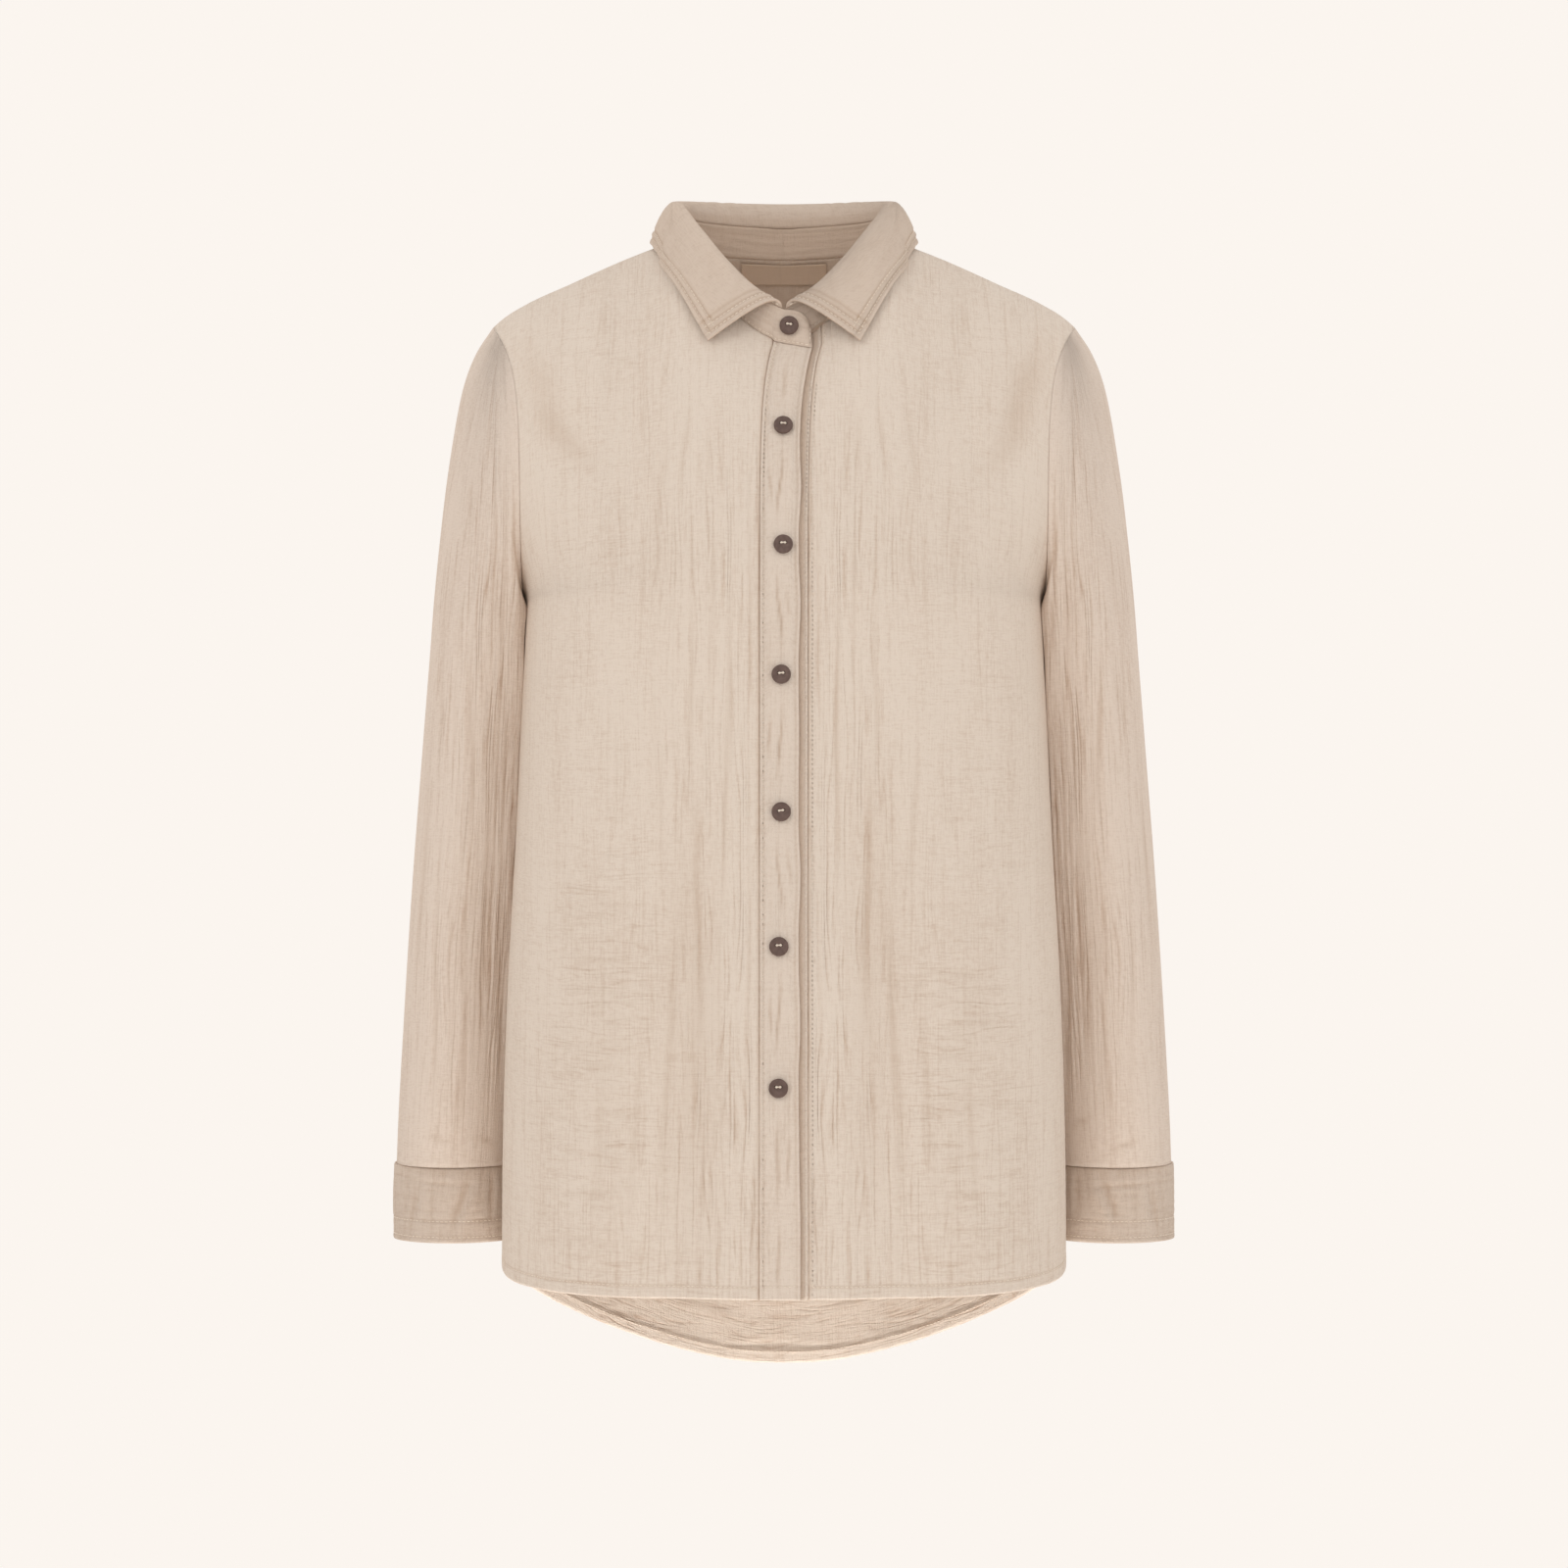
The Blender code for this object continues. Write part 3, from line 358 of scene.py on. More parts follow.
def front_y(x, z):
    """The depth y of the front at a place seen from the front, read from a grid of the body."""
    x, z = np.broadcast_arrays(np.abs(np.asarray(x, float)), np.asarray(z, float))
    flat = x.ravel()
    heights = np.array([np.interp(flat, row[:, 0], row[:, 2]) for row in FIELD])
    depths = np.array([np.interp(flat, row[:, 0], row[:, 1]) for row in FIELD])
    i = np.clip((heights < z.ravel()).sum(axis=0), 1, len(FIELD) - 1)
    at = np.arange(len(flat))
    z0, z1 = heights[i - 1, at], heights[i, at]
    t = np.clip((z.ravel() - z0) / np.maximum(z1 - z0, 1e-9), 0, 1)
    return (depths[i - 1, at] + t * (depths[i, at] - depths[i - 1, at])).reshape(x.shape)


print("body at the chest, mm:", np.round(body("front", 1.0, 0.0), 1), "to the side")


# %% [markdown]
# ## Cloth that has lines in it
# Crinkled gauze is never smooth. It has fine ridges along its length a few millimetres apart, that
# start, join and stop. Sculpting them would be endless, and a picture of them would not be solid.
# A lattice of random numbers, smoothed in between, gives hills and hollows of any size. Evenly
# spaced valleys that such a field pushes aside, and fades in and out, look like crinkles. The
# larger creases come from where the cloth is pulled or pressed, so each of those is placed in a
# row of a table.

# %% Crinkles and creases
LATTICE_SIZE = 256  # places each way before the random values repeat


def between_four(values, i, j, s, t):
    """A grid's value between the four places round (i + s, j + t); the grid repeats past its end."""
    rows, columns = values.shape
    near, far = (values[i % rows, k % columns] * (1 - s) + values[(i + 1) % rows, k % columns] * s
                 for k in (j, j + 1))
    return near * (1 - t) + far * t


def lattice(a, b, seed):
    """Smooth noise from 0 to 1: seeded random values at whole places of (a, b), eased in between."""
    values = np.random.default_rng(seed).random((LATTICE_SIZE, LATTICE_SIZE))
    i, j = np.floor(a).astype(int), np.floor(b).astype(int)
    return between_four(values, i, j, ease(a - i), ease(b - j))


def crinkle(across, along, width, length, seed):
    """Long thin valleys, -1 deep, between soft ridges.

    The valleys are where the sine of a phase is 0. The phase grows by half a turn for each width,
    smooth noise pushes it aside, and finer noise says how deep the valley is along its way.
    """
    sway = 1.3 * lattice(across / (2.5 * width), along / length, seed + 1)
    valley = 1 - np.abs(np.sin(np.pi * (across / width + sway))) ** 0.7
    return -valley * ease(1.7 * lattice(across / width, along / (0.6 * length), seed) - 0.3)


def creases(x, z, rows):
    """Soft troughs along slanting lines, each with a lower ridge beside it, deepest in the middle.

    A row runs from (x0, z0) to (x1, z1). The distance from that line, over the half width, goes
    through one hill downwards and one to its side upwards, and both fade towards the line's ends.
    """
    total = np.zeros(x.shape)
    for x0, z0, x1, z1, sway, half_width, depth in rows:
        length = np.hypot(x1 - x0, z1 - z0)
        along = ((x - x0) * (x1 - x0) + (z - z0) * (z1 - z0)) / length**2
        off = ((x - x0) * (z1 - z0) - (z - z0) * (x1 - x0)) / length
        off = off - sway * np.sin(np.pi * np.clip(along, 0, 1) * 2)
        fade = ease(along * 2.2) * ease((1 - along) * 2.2)
        total -= depth * fade * (hill(off / half_width) - 0.5 * hill(off / half_width / 1.3 - 1.5))
    return total


def groove(distance, half_width):
    """A narrow line pressed into the cloth, 1 deep at distance 0."""
    return hill(distance / half_width)


def relaxed(grid, axis, passes=1):
    """A grid whose points have moved halfway to the middle of their two neighbours, some times."""
    soft = np.moveaxis(grid.copy(), axis, 0)
    for _ in range(passes):
        soft[1:-1] = 0.5 * soft[1:-1] + 0.25 * (soft[:-2] + soft[2:])
    return np.moveaxis(soft, 0, axis)


def valleys(height, depth=0.6, passes=5):
    """How far a relief lies below its own smoothed form: 1 at this depth or more."""
    soft = height
    for _ in range(passes):
        soft = relaxed(relaxed(soft, 0), 1)
    return np.clip((soft - height) / depth, 0, 1)


def soften_middle(grid, passes=40, width=18.0):
    """Smooths a grid along its rows near the centre line, where two mirrored halves meet."""
    return grid + hill(grid[..., :1] / width) * (grid[..., 1:2] > 0) * (relaxed(grid, 1, passes) - grid)


def unfolded(half):
    """A whole grid from its left half: points are mirrored, plain numbers are repeated."""
    other = half[:, :0:-1]
    return np.concatenate([mirrored(other) if half.ndim == 3 else other, half], axis=1)


def lengths_across(grid):
    """How far each point of a grid is along its row, summed from the row's first point."""
    steps = np.linalg.norm(np.diff(grid, axis=1), axis=-1)
    return np.concatenate([np.zeros((len(grid), 1)), np.cumsum(steps, axis=1)], axis=1)


def lengths_along(grid):
    """How far each point of a grid is along its column, summed from the column's first point."""
    return lengths_across(np.swapaxes(grid, 0, 1)).T


def grid_normals(grid, wrap=False):
    """Unit normals of a grid of points: the cross product of its central differences."""
    if wrap:
        across = np.roll(grid, -1, axis=1) - np.roll(grid, 1, axis=1)
    else:
        across = np.gradient(grid, axis=1)
    return unit(np.cross(across, np.gradient(grid, axis=0)))


# %% [markdown]
# ## From a grid to a piece of cloth
# Gauze is about a millimetre thick, and a real edge of cloth is folded, so it is round. A Solidify
# modifier gives a plain grid a wall, but its rim stays square. Here the inner face is the outer
# grid moved in along its normals, both faces come together a little at the rim, and quads close
# the rim. Each point also carries three numbers that the finish reads: how strong the fine
# crinkle is there, how much of it runs across the cloth, and how much painted shade its colour
# takes, in creases, grooves, valleys and the inside of the neck. The flat map of the cloth, in
# metres, is its own UV map, so the weave lies along the grain wherever the cloth bends.

# %% Grid to mesh
PIECES, AREAS, SIZES, FACES = {}, {}, {}, {}


def quad_rows(rows, columns, wrap):
    """The four corners of each quad of a grid, and the same for its flat map, which never wraps."""
    r, c = np.meshgrid(np.arange(rows - 1), np.arange(columns - (not wrap)), indexing="ij")
    d = (c + 1) % columns
    corners = [r * columns + c, r * columns + d, (r + 1) * columns + d, (r + 1) * columns + c]
    wide = columns + wrap
    flat = [r * wide + c, r * wide + c + 1, (r + 1) * wide + c + 1, (r + 1) * wide + c]
    return np.stack(corners, -1).reshape(-1, 4), np.stack(flat, -1).reshape(-1, 4)


def rim_rows(line, count):
    """Quads between an edge line of the outer grid and the same line of the inner grid."""
    a, b = line[:-1], line[1:]
    return np.stack([b, a, count + a, count + b], -1)


def fill_mesh(name, vertices, quads, uvs, uv_quads, marks):
    """A mesh in metres from arrays of points and quads, with a UV map and named numbers on points."""
    mesh = bpy.data.meshes.new(name)
    mesh.vertices.add(len(vertices))
    mesh.vertices.foreach_set("co", (vertices * MM).astype(np.float32).ravel())
    mesh.loops.add(quads.size)
    mesh.loops.foreach_set("vertex_index", quads.astype(np.int32).ravel())
    mesh.polygons.add(len(quads))
    mesh.polygons.foreach_set("loop_start", np.arange(0, quads.size, quads.shape[1], dtype=np.int32))
    layer = mesh.uv_layers.new(name="cloth")
    layer.data.foreach_set("uv", (uvs[uv_quads.ravel()] * MM).astype(np.float32).ravel())
    for mark, values in marks.items():
        attribute = mesh.attributes.new(mark, "FLOAT", "POINT")
        attribute.data.foreach_set("value", values.astype(np.float32).ravel())
    mesh.update(calc_edges=True)
    mesh.validate()
    mesh.shade_smooth()
    return mesh


def listed_mesh(name, points, faces):
    """A mesh from a list of points in metres and a list of faces."""
    mesh = bpy.data.meshes.new(name)
    mesh.from_pydata([tuple(p) for p in points], [], [tuple(f) for f in faces])
    mesh.shade_smooth()
    return mesh


def linked(name, data):
    """A new object in the scene."""
    made = bpy.data.objects.new(name, data)
    bpy.context.scene.collection.objects.link(made)
    return made


def place(name, mesh, material, replaces=()):
    """An object at the origin that rides on the one rigid body and stands for its solids."""
    mesh.materials.append(material)
    made = linked(name, mesh)
    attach(made, "root")
    if replaces:
        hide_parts(*replaces)
    PIECES[name] = made


# Marks of a point: how strong the fine crinkle is, how much of it runs across, and how much painted shade of
# creases, grooves and hollows its colour takes.
PLAIN_MARKS = {"fine": 0.4, "cross": 0.4, "painted_shade": 0.0}


def cloth_wall(name, outer, thick, material, node, wrap=False, flip=False, mirror=False,
               marks=PLAIN_MARKS, round_rim=0.7, normals=None, inside=0.0, rim=0.24, grain=None,
               length=None):
    """A closed wall of cloth from its outer grid, with a flat map in millimetres.

    Within round_rim of an edge, rim is the share of the thickness by which each face comes in, along
    a quarter of a circle. The map measures along the grid's rows and columns, unless grain and
    length give it. The inner face takes painted shade: half of the outer face's, or inside where
    that is more. A piece for the wearer's right side is a mirror image.
    """
    if mirror:
        outer, flip = mirrored(outer), True
    rows, columns = outer.shape[:2]
    if normals is None:
        normals = grid_normals(outer, wrap) * (-1 if flip else 1)
    along = lengths_along(outer)
    closed = np.concatenate([outer, outer[:, :1]], axis=1) if wrap else outer
    across = lengths_across(closed)
    edge = np.minimum(along, along[-1:] - along)
    if not wrap:
        edge = np.minimum(edge, np.minimum(across, across[:, -1:] - across))
    rounding = rim * thick * corner(1 - edge / round_rim)
    face = outer - normals * rounding[..., None]
    inner = outer - normals * (thick - rounding)[..., None]
    count, flat_count = rows * columns, rows * (columns + wrap)
    quads, flats = quad_rows(rows, columns, wrap)
    faces, maps = [quads, quads[:, ::-1] + count], [flats, flats[:, ::-1] + flat_count]
    index = np.arange(count).reshape(rows, columns)
    flat = np.arange(flat_count).reshape(rows, columns + wrap)
    if wrap:
        index = np.concatenate([index, index[:, :1]], axis=1)
    edges = [(index[0], flat[0]), (index[-1][::-1], flat[-1][::-1])]
    if not wrap:
        edges += [(index[::-1, 0], flat[::-1, 0]), (index[:, -1], flat[:, -1])]
    for line, flat_line in edges:
        faces.append(rim_rows(line, count))
        maps.append(rim_rows(flat_line, flat_count))
    faces, maps = np.concatenate(faces), np.concatenate(maps)
    if flip:
        faces, maps = faces[:, ::-1], maps[:, ::-1]
    points = np.concatenate([face.reshape(-1, 3), inner.reshape(-1, 3)])
    up = along if length is None else length
    up = np.concatenate([up, up[:, :1]], axis=1) if wrap else up
    uvs = np.stack([across if grain is None else grain, up], axis=-1).reshape(-1, 2)
    FACES[name] = (face, inner)
    both = {}
    for mark, values in marks.items():
        # The inner face takes painted shade: half of the outer face's, or inside where that is more.
        within = values if mark != "painted_shade" else np.maximum(values * 0.5, inside)
        both[mark] = np.concatenate([np.broadcast_to(v, (rows, columns)).ravel() for v in (values, within)])
    place(name, fill_mesh(name, points, faces, np.tile(uvs, (2, 1)), maps, both), material, [node])
    first = closed[:-1, :-1]
    spanned = np.cross(closed[1:, :-1] - first, closed[:-1, 1:] - first)
    AREAS[name] = float(np.linalg.norm(spanned, axis=-1).sum()) * MM * MM
    SIZES[name] = (float(across[:, -1].max()) * MM, float(along[-1].max()) * MM)
    print(f"{name}: {2 * len(faces)} triangles, {AREAS[name]:.4f} m2, "
          f"{SIZES[name][0]:.3f} x {SIZES[name][1]:.3f} m")


# %% [markdown]
# ## The finish of the cloth
# Undyed gauze is matt and a little uneven. Seen close it is a loose plain weave, and between the
# weave and the large creases lie the fine crinkles, which catch the light on their ridges and hold
# shade in their hollows. That shade is painted into the colour as well as bumped: a lit colour
# turns to a painted valley shade along the crinkle lines, and to a deeper painted crease shade
# where a point's marks say so. All of it depends on where a point is on the flat cloth, so the
# nodes read the cloth's own map. Writing the maths of the nodes as Python expressions keeps it
# readable: a small class wraps a socket, and adding or multiplying two of them adds a Math node.

# %% Sockets that can be added and multiplied
class Field:
    """A value that changes over a surface: an output socket with Python's arithmetic."""

    def __init__(self, tree, socket):
        self.tree, self.socket = tree, socket

    def node(self, kind, settings=None, **inputs):
        """Adds a node; settings are its properties, inputs its sockets by name or by _ and number."""
        made = self.tree.nodes.new(kind)
        for name, value in (settings or {}).items():
            setattr(made, name, value)
        for name, value in inputs.items():
            key = int(name[1:]) if name[1:].isdigit() and name[0] == "_" else name.replace("_", " ")
            target = made.inputs[key]
            if isinstance(value, Field):
                self.tree.links.new(value.socket, target)
            else:
                target.default_value = value
        return made

    def output(self, kind, settings=None, which=0, **inputs):
        """The chosen output of a new node, as a field."""
        return Field(self.tree, self.node(kind, settings, **inputs).outputs[which])

    def math(self, operation, *values):
        """A Math node of these values."""
        sockets = {f"_{i}": value for i, value in enumerate(values)}
        return self.output("ShaderNodeMath", {"operation": operation}, **sockets)

    def between(self, first, second):
        """The colour from the first to the second, by this field kept between 0 and 1."""
        return self.output("ShaderNodeMix", {"data_type": "RGBA"}, which=2,
                           Factor=self.clamp(), _6=first, _7=second)

    def feed(self, target):
        """Links this field to a socket of the shader."""
        self.tree.links.new(self.socket, target)

    def __add__(self, other):
        return self.math("ADD", self, other)

    def __sub__(self, other):
        return self.math("SUBTRACT", self, other)

    def __rsub__(self, other):
        return self.math("SUBTRACT", other, self)

    def __mul__(self, other):
        return self.math("MULTIPLY", self, other)

    def __pow__(self, other):
        return self.math("POWER", self, other)

    __radd__, __rmul__ = __add__, __mul__

    def clamp(self):
        """This field kept between 0 and 1."""
        return self.math("MAXIMUM", self.math("MINIMUM", self, 1.0), 0.0)


def rgb(red, green, blue):
    """A colour as a screen shows it, 0 to 255, as the linear colour that a shader takes."""
    return (*[((c / 255 + 0.055) / 1.055) ** 2.4 for c in (red, green, blue)], 1.0)


def start_material(name, **constants):
    """A Principled material with these constants on its sockets, and a field to build from."""
    made = bpy.data.materials.new(name)
    made.use_nodes = True
    sockets = made.node_tree.nodes["Principled BSDF"].inputs
    for socket, value in constants.items():
        sockets[socket.replace("_", " ")].default_value = value
    return made, sockets, Field(made.node_tree, None)


def stretched_noise(root, flat, across, along, detail=2.0):
    """Noise whose spots are this wide and this long on the cloth, in millimetres."""
    scaled = root.output("ShaderNodeVectorMath", {"operation": "MULTIPLY"},
                         _0=flat, _1=(1 / (across * MM), 1 / (along * MM), 1.0))
    return root.output("ShaderNodeTexNoise", {"noise_dimensions": "2D"},
                       Vector=scaled, Scale=1.0, Detail=detail, Roughness=0.55)


def valley_lines(root, flat, part, width, length):
    """Thin lines this far apart, in millimetres, 1 on the line, that sway and come and go.

    One minus a power of the size of a sine, whose phase grows along one part of the flat map and
    is pushed by noise; a second noise says how strong each line is along its way.
    """
    def spots(across, along):
        """Noise whose spots are this wide across the lines and this long along them."""
        return stretched_noise(root, flat, *((across, along) if part == 0 else (along, across)), 1.0)

    place_on = root.output("ShaderNodeSeparateXYZ", which=part, Vector=flat)
    phase = place_on * (1 / (width * MM)) + spots(2.5 * width, length) * 4
    wave = root.math("ABSOLUTE", root.math("SINE", phase * np.pi)) ** 0.6
    return (1 - wave) * ((spots(1.3 * width, 0.5 * length) - 0.33) * 3.0).clamp()


# The painted shade colour that creases, grooves and the inside of the neck take.
PAINTED_CREASE_SHADE = rgb(193, 165, 141)  # the colour in a crease
THREAD_PITCH = 0.9 * MM  # two threads of the weave


def gauze(name, lit, valley_shade, crinkle_mm=0.55, cross_mm=0.36, weave_mm=0.12):
    """Crinkled double gauze: two sets of thin valleys, a plain weave, and painted shade in every valley and
    crease.
    """
    made, sockets, root = start_material(name, Roughness=0.95, Specular_IOR_Level=0.15)
    flat = root.output("ShaderNodeUVMap", {"uv_map": "cloth"})
    fine, cross, painted_shade = (root.output("ShaderNodeAttribute", {"attribute_name": mark}, which=2)
                         for mark in PLAIN_MARKS)
    along = valley_lines(root, flat, 0, 3.9, 150) * 0.7 + valley_lines(root, flat, 0, 2.0, 70) * 0.3
    level = valley_lines(root, flat, 1, 4.0, 70) * 0.6 + valley_lines(root, flat, 1, 2.2, 30) * 0.4
    relief = (along * fine * crinkle_mm + level * cross * cross_mm) * -1
    ways = root.node("ShaderNodeSeparateXYZ", Vector=flat).outputs
    warp, weft = (root.math("SINE", Field(root.tree, ways[i]) * (2 * np.pi / THREAD_PITCH)) for i in (0, 1))
    slub = stretched_noise(root, flat, 1.1, 6, 1.0) + stretched_noise(root, flat, 6, 1.1, 1.0)
    height = relief + (warp * weft + slub * 2) * weave_mm
    # Painted shade along the crinkles' valleys, then random tone of the cloth from cloud and slub.
    shade = along * fine + level * cross * 0.75
    cloud = stretched_noise(root, flat, 30, 150)
    shade = shade + (cloud - 0.5) * 0.40 + (slub - 1.0) * 0.55
    # Base colour: from the lit colour to the painted valley shade, then to the painted crease shade by the
    # third mark.
    painted_shade.between(shade.between(lit, valley_shade), PAINTED_CREASE_SHADE).feed(sockets["Base Color"])
    root.output("ShaderNodeBump", Height=height, Strength=1.0, Distance=MM).feed(sockets["Normal"])
    return made


# Each cloth has its lit colour and a painted shade colour for its crinkles' valleys.
BODY_CLOTH = gauze("gauze_body", rgb(235, 220, 205), rgb(209, 185, 165))
SLEEVE_CLOTH = gauze("gauze_sleeve", rgb(235, 218, 203), rgb(207, 182, 162))
CUFF_CLOTH = gauze("gauze_cuff", rgb(218, 200, 184), rgb(191, 167, 147))
# The collar's colours are darker than the body's, as painted shade for its tilted, creased face.
COLLAR_CLOTH = gauze("gauze_collar", rgb(222, 203, 186), rgb(195, 170, 149))
BAND_CLOTH = gauze("gauze_band", rgb(232, 216, 201), rgb(206, 183, 163))


def mottled(name, roughness, colour, spots, spot_size, share=0.5):
    """A finish mottled softly between two colours by noise over the object, spots in millimetres."""
    made, sockets, root = start_material(name, Roughness=roughness)
    where = root.output("ShaderNodeTexCoord", which=3)
    noise = root.output("ShaderNodeTexNoise", Vector=where, Scale=1 / (spot_size * MM), Detail=3.0)
    ((noise - 0.5) * 2.5 + share).between(colour, spots).feed(sockets["Base Color"])
    return made


LABEL_TAPE = gauze("label_tape_finish", rgb(212, 192, 172), rgb(196, 174, 153), 0.0, 0.0, 0.04)
SHELL = mottled("button_shell", 0.60, rgb(88, 67, 59), rgb(106, 84, 75), 2.6, 0.35)
THREAD = mottled("thread_finish", 0.85, rgb(244, 232, 216), rgb(226, 208, 190), 1.5)
BACKDROP = start_material("backdrop", Base_Color=rgb(0, 0, 0), Roughness=1.0, Specular_IOR_Level=0.0,
                          Emission_Color=rgb(251, 245, 239), Emission_Strength=1.0)[0]


# %% [markdown]
# ## Fronts and back
# Each front is one panel from its closing band to the side seam, and the back is one panel cut on
# the fold. The hem is turned up twice to the inside and stitched 9 mm above the edge, so the wall is
# thicker there, and it puckers between the stitches. The crinkles are strongest beside the bands,
# where the buttons pull. Towards the side seams, low down, they also run across. The creases that a
# viewer would remember are rows of a table: long ones that fall from the chest beside the bands,
# drags from the neck and the shoulder tip, and level ones above the hem. The two fronts take the
# same rows, each moved a little, because real cloth never falls the same way twice.

# %% Creases of the body
CLOTH, HEM_BAND, HEM_EXTRA = 1.3, 9.0, 0.9
FRONT_CREASES = [  # x0, z0, x1, z1, sway, half width, depth; x from the centre line
    (24, -150, 23, -352, 1.0, 1.8, 0.45),
    (24, -376, 25, -640, 1.2, 2.0, 0.50),
    (31, -215, 33, -420, -1.5, 2.2, 0.50),
    (38, -262, 36, -470, 1.5, 2.6, 0.60),
    (46, -180, 45, -332, 1.0, 2.4, 0.40),
    (52, -330, 55, -565, -2.0, 3.0, 0.70),
    (63, -236, 60, -398, 1.5, 2.6, 0.45),
    (70, -402, 75, -664, 2.0, 3.4, 0.70),
    (84, -296, 82, -470, -1.5, 3.0, 0.40),
    (93, -474, 98, -690, 2.0, 3.6, 0.60),
    (121, -520, 125, -676, 1.0, 3.5, 0.40),
    (184, -58, 132, -172, 3.0, 12.0, 1.90),
    (168, -120, 128, -186, -2.0, 10.0, 0.50),
    (60, -330, 62, -712, 2.0, 20.0, 1.60),
    (112, -420, 116, -708, -2.0, 16.0, 0.80),
    (150, -76, 128, -120, 1.5, 6.0, 0.40),
    (61, -96, 67, -192, 1.0, 3.0, 0.50),
    (45, -100, 49, -178, -1.0, 2.6, 0.45),
    (79, -112, 86, -214, 1.0, 3.2, 0.40),
    (96, -452, 160, -446, 0.8, 2.6, 0.20),
    (86, -492, 148, -501, 0.8, 2.8, 0.25),
    (104, -538, 166, -530, -0.8, 2.6, 0.20),
    (78, -576, 140, -581, 0.8, 2.8, 0.20),
    (110, -611, 168, -603, 0.8, 2.6, 0.25),
    (90, -642, 152, -648, -0.8, 2.8, 0.20),
]
BACK_CREASES = [
    (12, -120, 10, -330, 1.5, 3.0, 0.50),
    (26, -300, 30, -560, -2.0, 3.4, 0.60),
    (44, -180, 42, -380, 1.5, 3.0, 0.45),
    (58, -420, 62, -700, 2.0, 3.6, 0.60),
    (72, -240, 76, -460, -1.5, 3.0, 0.50),
    (90, -360, 94, -640, 1.5, 3.4, 0.55),
    (108, -250, 110, -420, 1.0, 3.0, 0.40),
    (132, -440, 134, -660, -1.5, 3.4, 0.50),
    (172, -84, 134, -170, 2.0, 9.0, 1.10),
    (158, -96, 120, -190, -2.0, 7.0, 0.70),
    (146, -120, 108, -214, 1.5, 6.0, 0.40),
    (60, -30, 70, -150, 1.0, 3.6, 0.50),
    (84, -60, 92, -170, -1.0, 3.4, 0.40),
    (18, -606, 92, -598, 1.0, 2.4, 0.50),
    (4, -640, 70, -646, -0.8, 2.4, 0.50),
    (30, -676, 104, -668, 0.8, 2.2, 0.50),
    (2, -706, 80, -712, 0.8, 2.4, 0.55),
    (10, -738, 74, -730, -0.8, 2.2, 0.50),
    (0, -758, 44, -761, 0.6, 2.0, 0.45),
    (-40, -728, 60, -722, 1.5, 3.0, 1.20),
    (-110, -708, -20, -741, 1.5, 3.0, 1.10),
    (20, -742, 108, -716, -1.5, 2.6, 1.10),
    (-70, -752, 30, -750, 1.0, 2.4, 0.90),
    (104, -560, 168, -552, 0.8, 2.4, 0.45),
]


def moved(rows, seed, side=1, by=(2.5, 14)):
    """The same creases, each moved a few millimetres and a little deeper or shallower."""
    rows = np.array(rows, float)
    chance = np.random.default_rng(seed).uniform(-1, 1, (len(rows), 4))
    rows[:, [0, 2]] = side * (rows[:, [0, 2]] + by[0] * chance[:, :1])
    rows[:, [1, 3]] += by[1] * chance[:, 1:2]
    rows[:, 6] *= 1 + 0.3 * chance[:, 3]
    return rows


# %% Reliefs of the body
def panel_rows(hem_rows, below, above, hem_share=0.031):
    """Heights v of a panel's rows: close together in the hem, wider above."""
    low = np.linspace(-1, -1 + hem_share, hem_rows + 1)[:-1]
    middle = np.linspace(-1 + hem_share, 0, below + 1)[:-1]
    return np.concatenate([low, middle, np.linspace(0, 1, above + 1)])


def panel_shares(first, neck_columns, shoulder_columns):
    """Shares from an inner edge to the side, with a column on the shoulder's high point."""
    first = np.asarray(first, float)[:, None]
    neck = first + (NECK_SHARE - first) * np.linspace(0, 1, neck_columns + 1)
    shoulder = NECK_SHARE + (1 - NECK_SHARE) * np.linspace(0, 1, shoulder_columns + 1)[1:]
    return np.concatenate([neck, np.broadcast_to(shoulder, (len(neck), shoulder_columns))], axis=1)


def soften_chest(points, u, rows):
    """Smooths a panel below the neck's corner, and near the chest, where two formulas meet."""
    up = lengths_along(points)
    below_corner = hill((u - NECK_SHARE) / 0.22) * ease((up[-1:] - up) / 40)
    points = points + below_corner[..., None] * (relaxed(points, 1, 150) - points)
    at_chest = hill(rows[:, None] / 0.07) * ease((1 - u) / 0.12)
    return points + at_chest[..., None] * (relaxed(points, 0, 24) - points)


def upright_grain(points, heights, start=0):
    """How far each point lies across the cloth, with its lengthwise threads upright above the chest.

    Up to the chest it is the length along the row from the start column. Above, a point takes the
    length of the point of the chest's row that has the same x, so the threads don't fan out
    towards the shoulder.
    """
    across, x = lengths_across(points), points[..., 0]
    across = across - across[:, start : start + 1]
    chest = np.argmin(np.abs(heights))
    chest_x, chest_across = x[chest], across[chest]
    level = np.gradient(chest_across) < 1.15 * np.gradient(chest_x)
    chest_x, chest_across = chest_x[level], chest_across[level]
    upright = np.interp(x, chest_x, chest_across) + x - np.clip(x, chest_x[0], chest_x[-1])
    return across + ease(heights / 0.6)[:, None] * (upright - across)


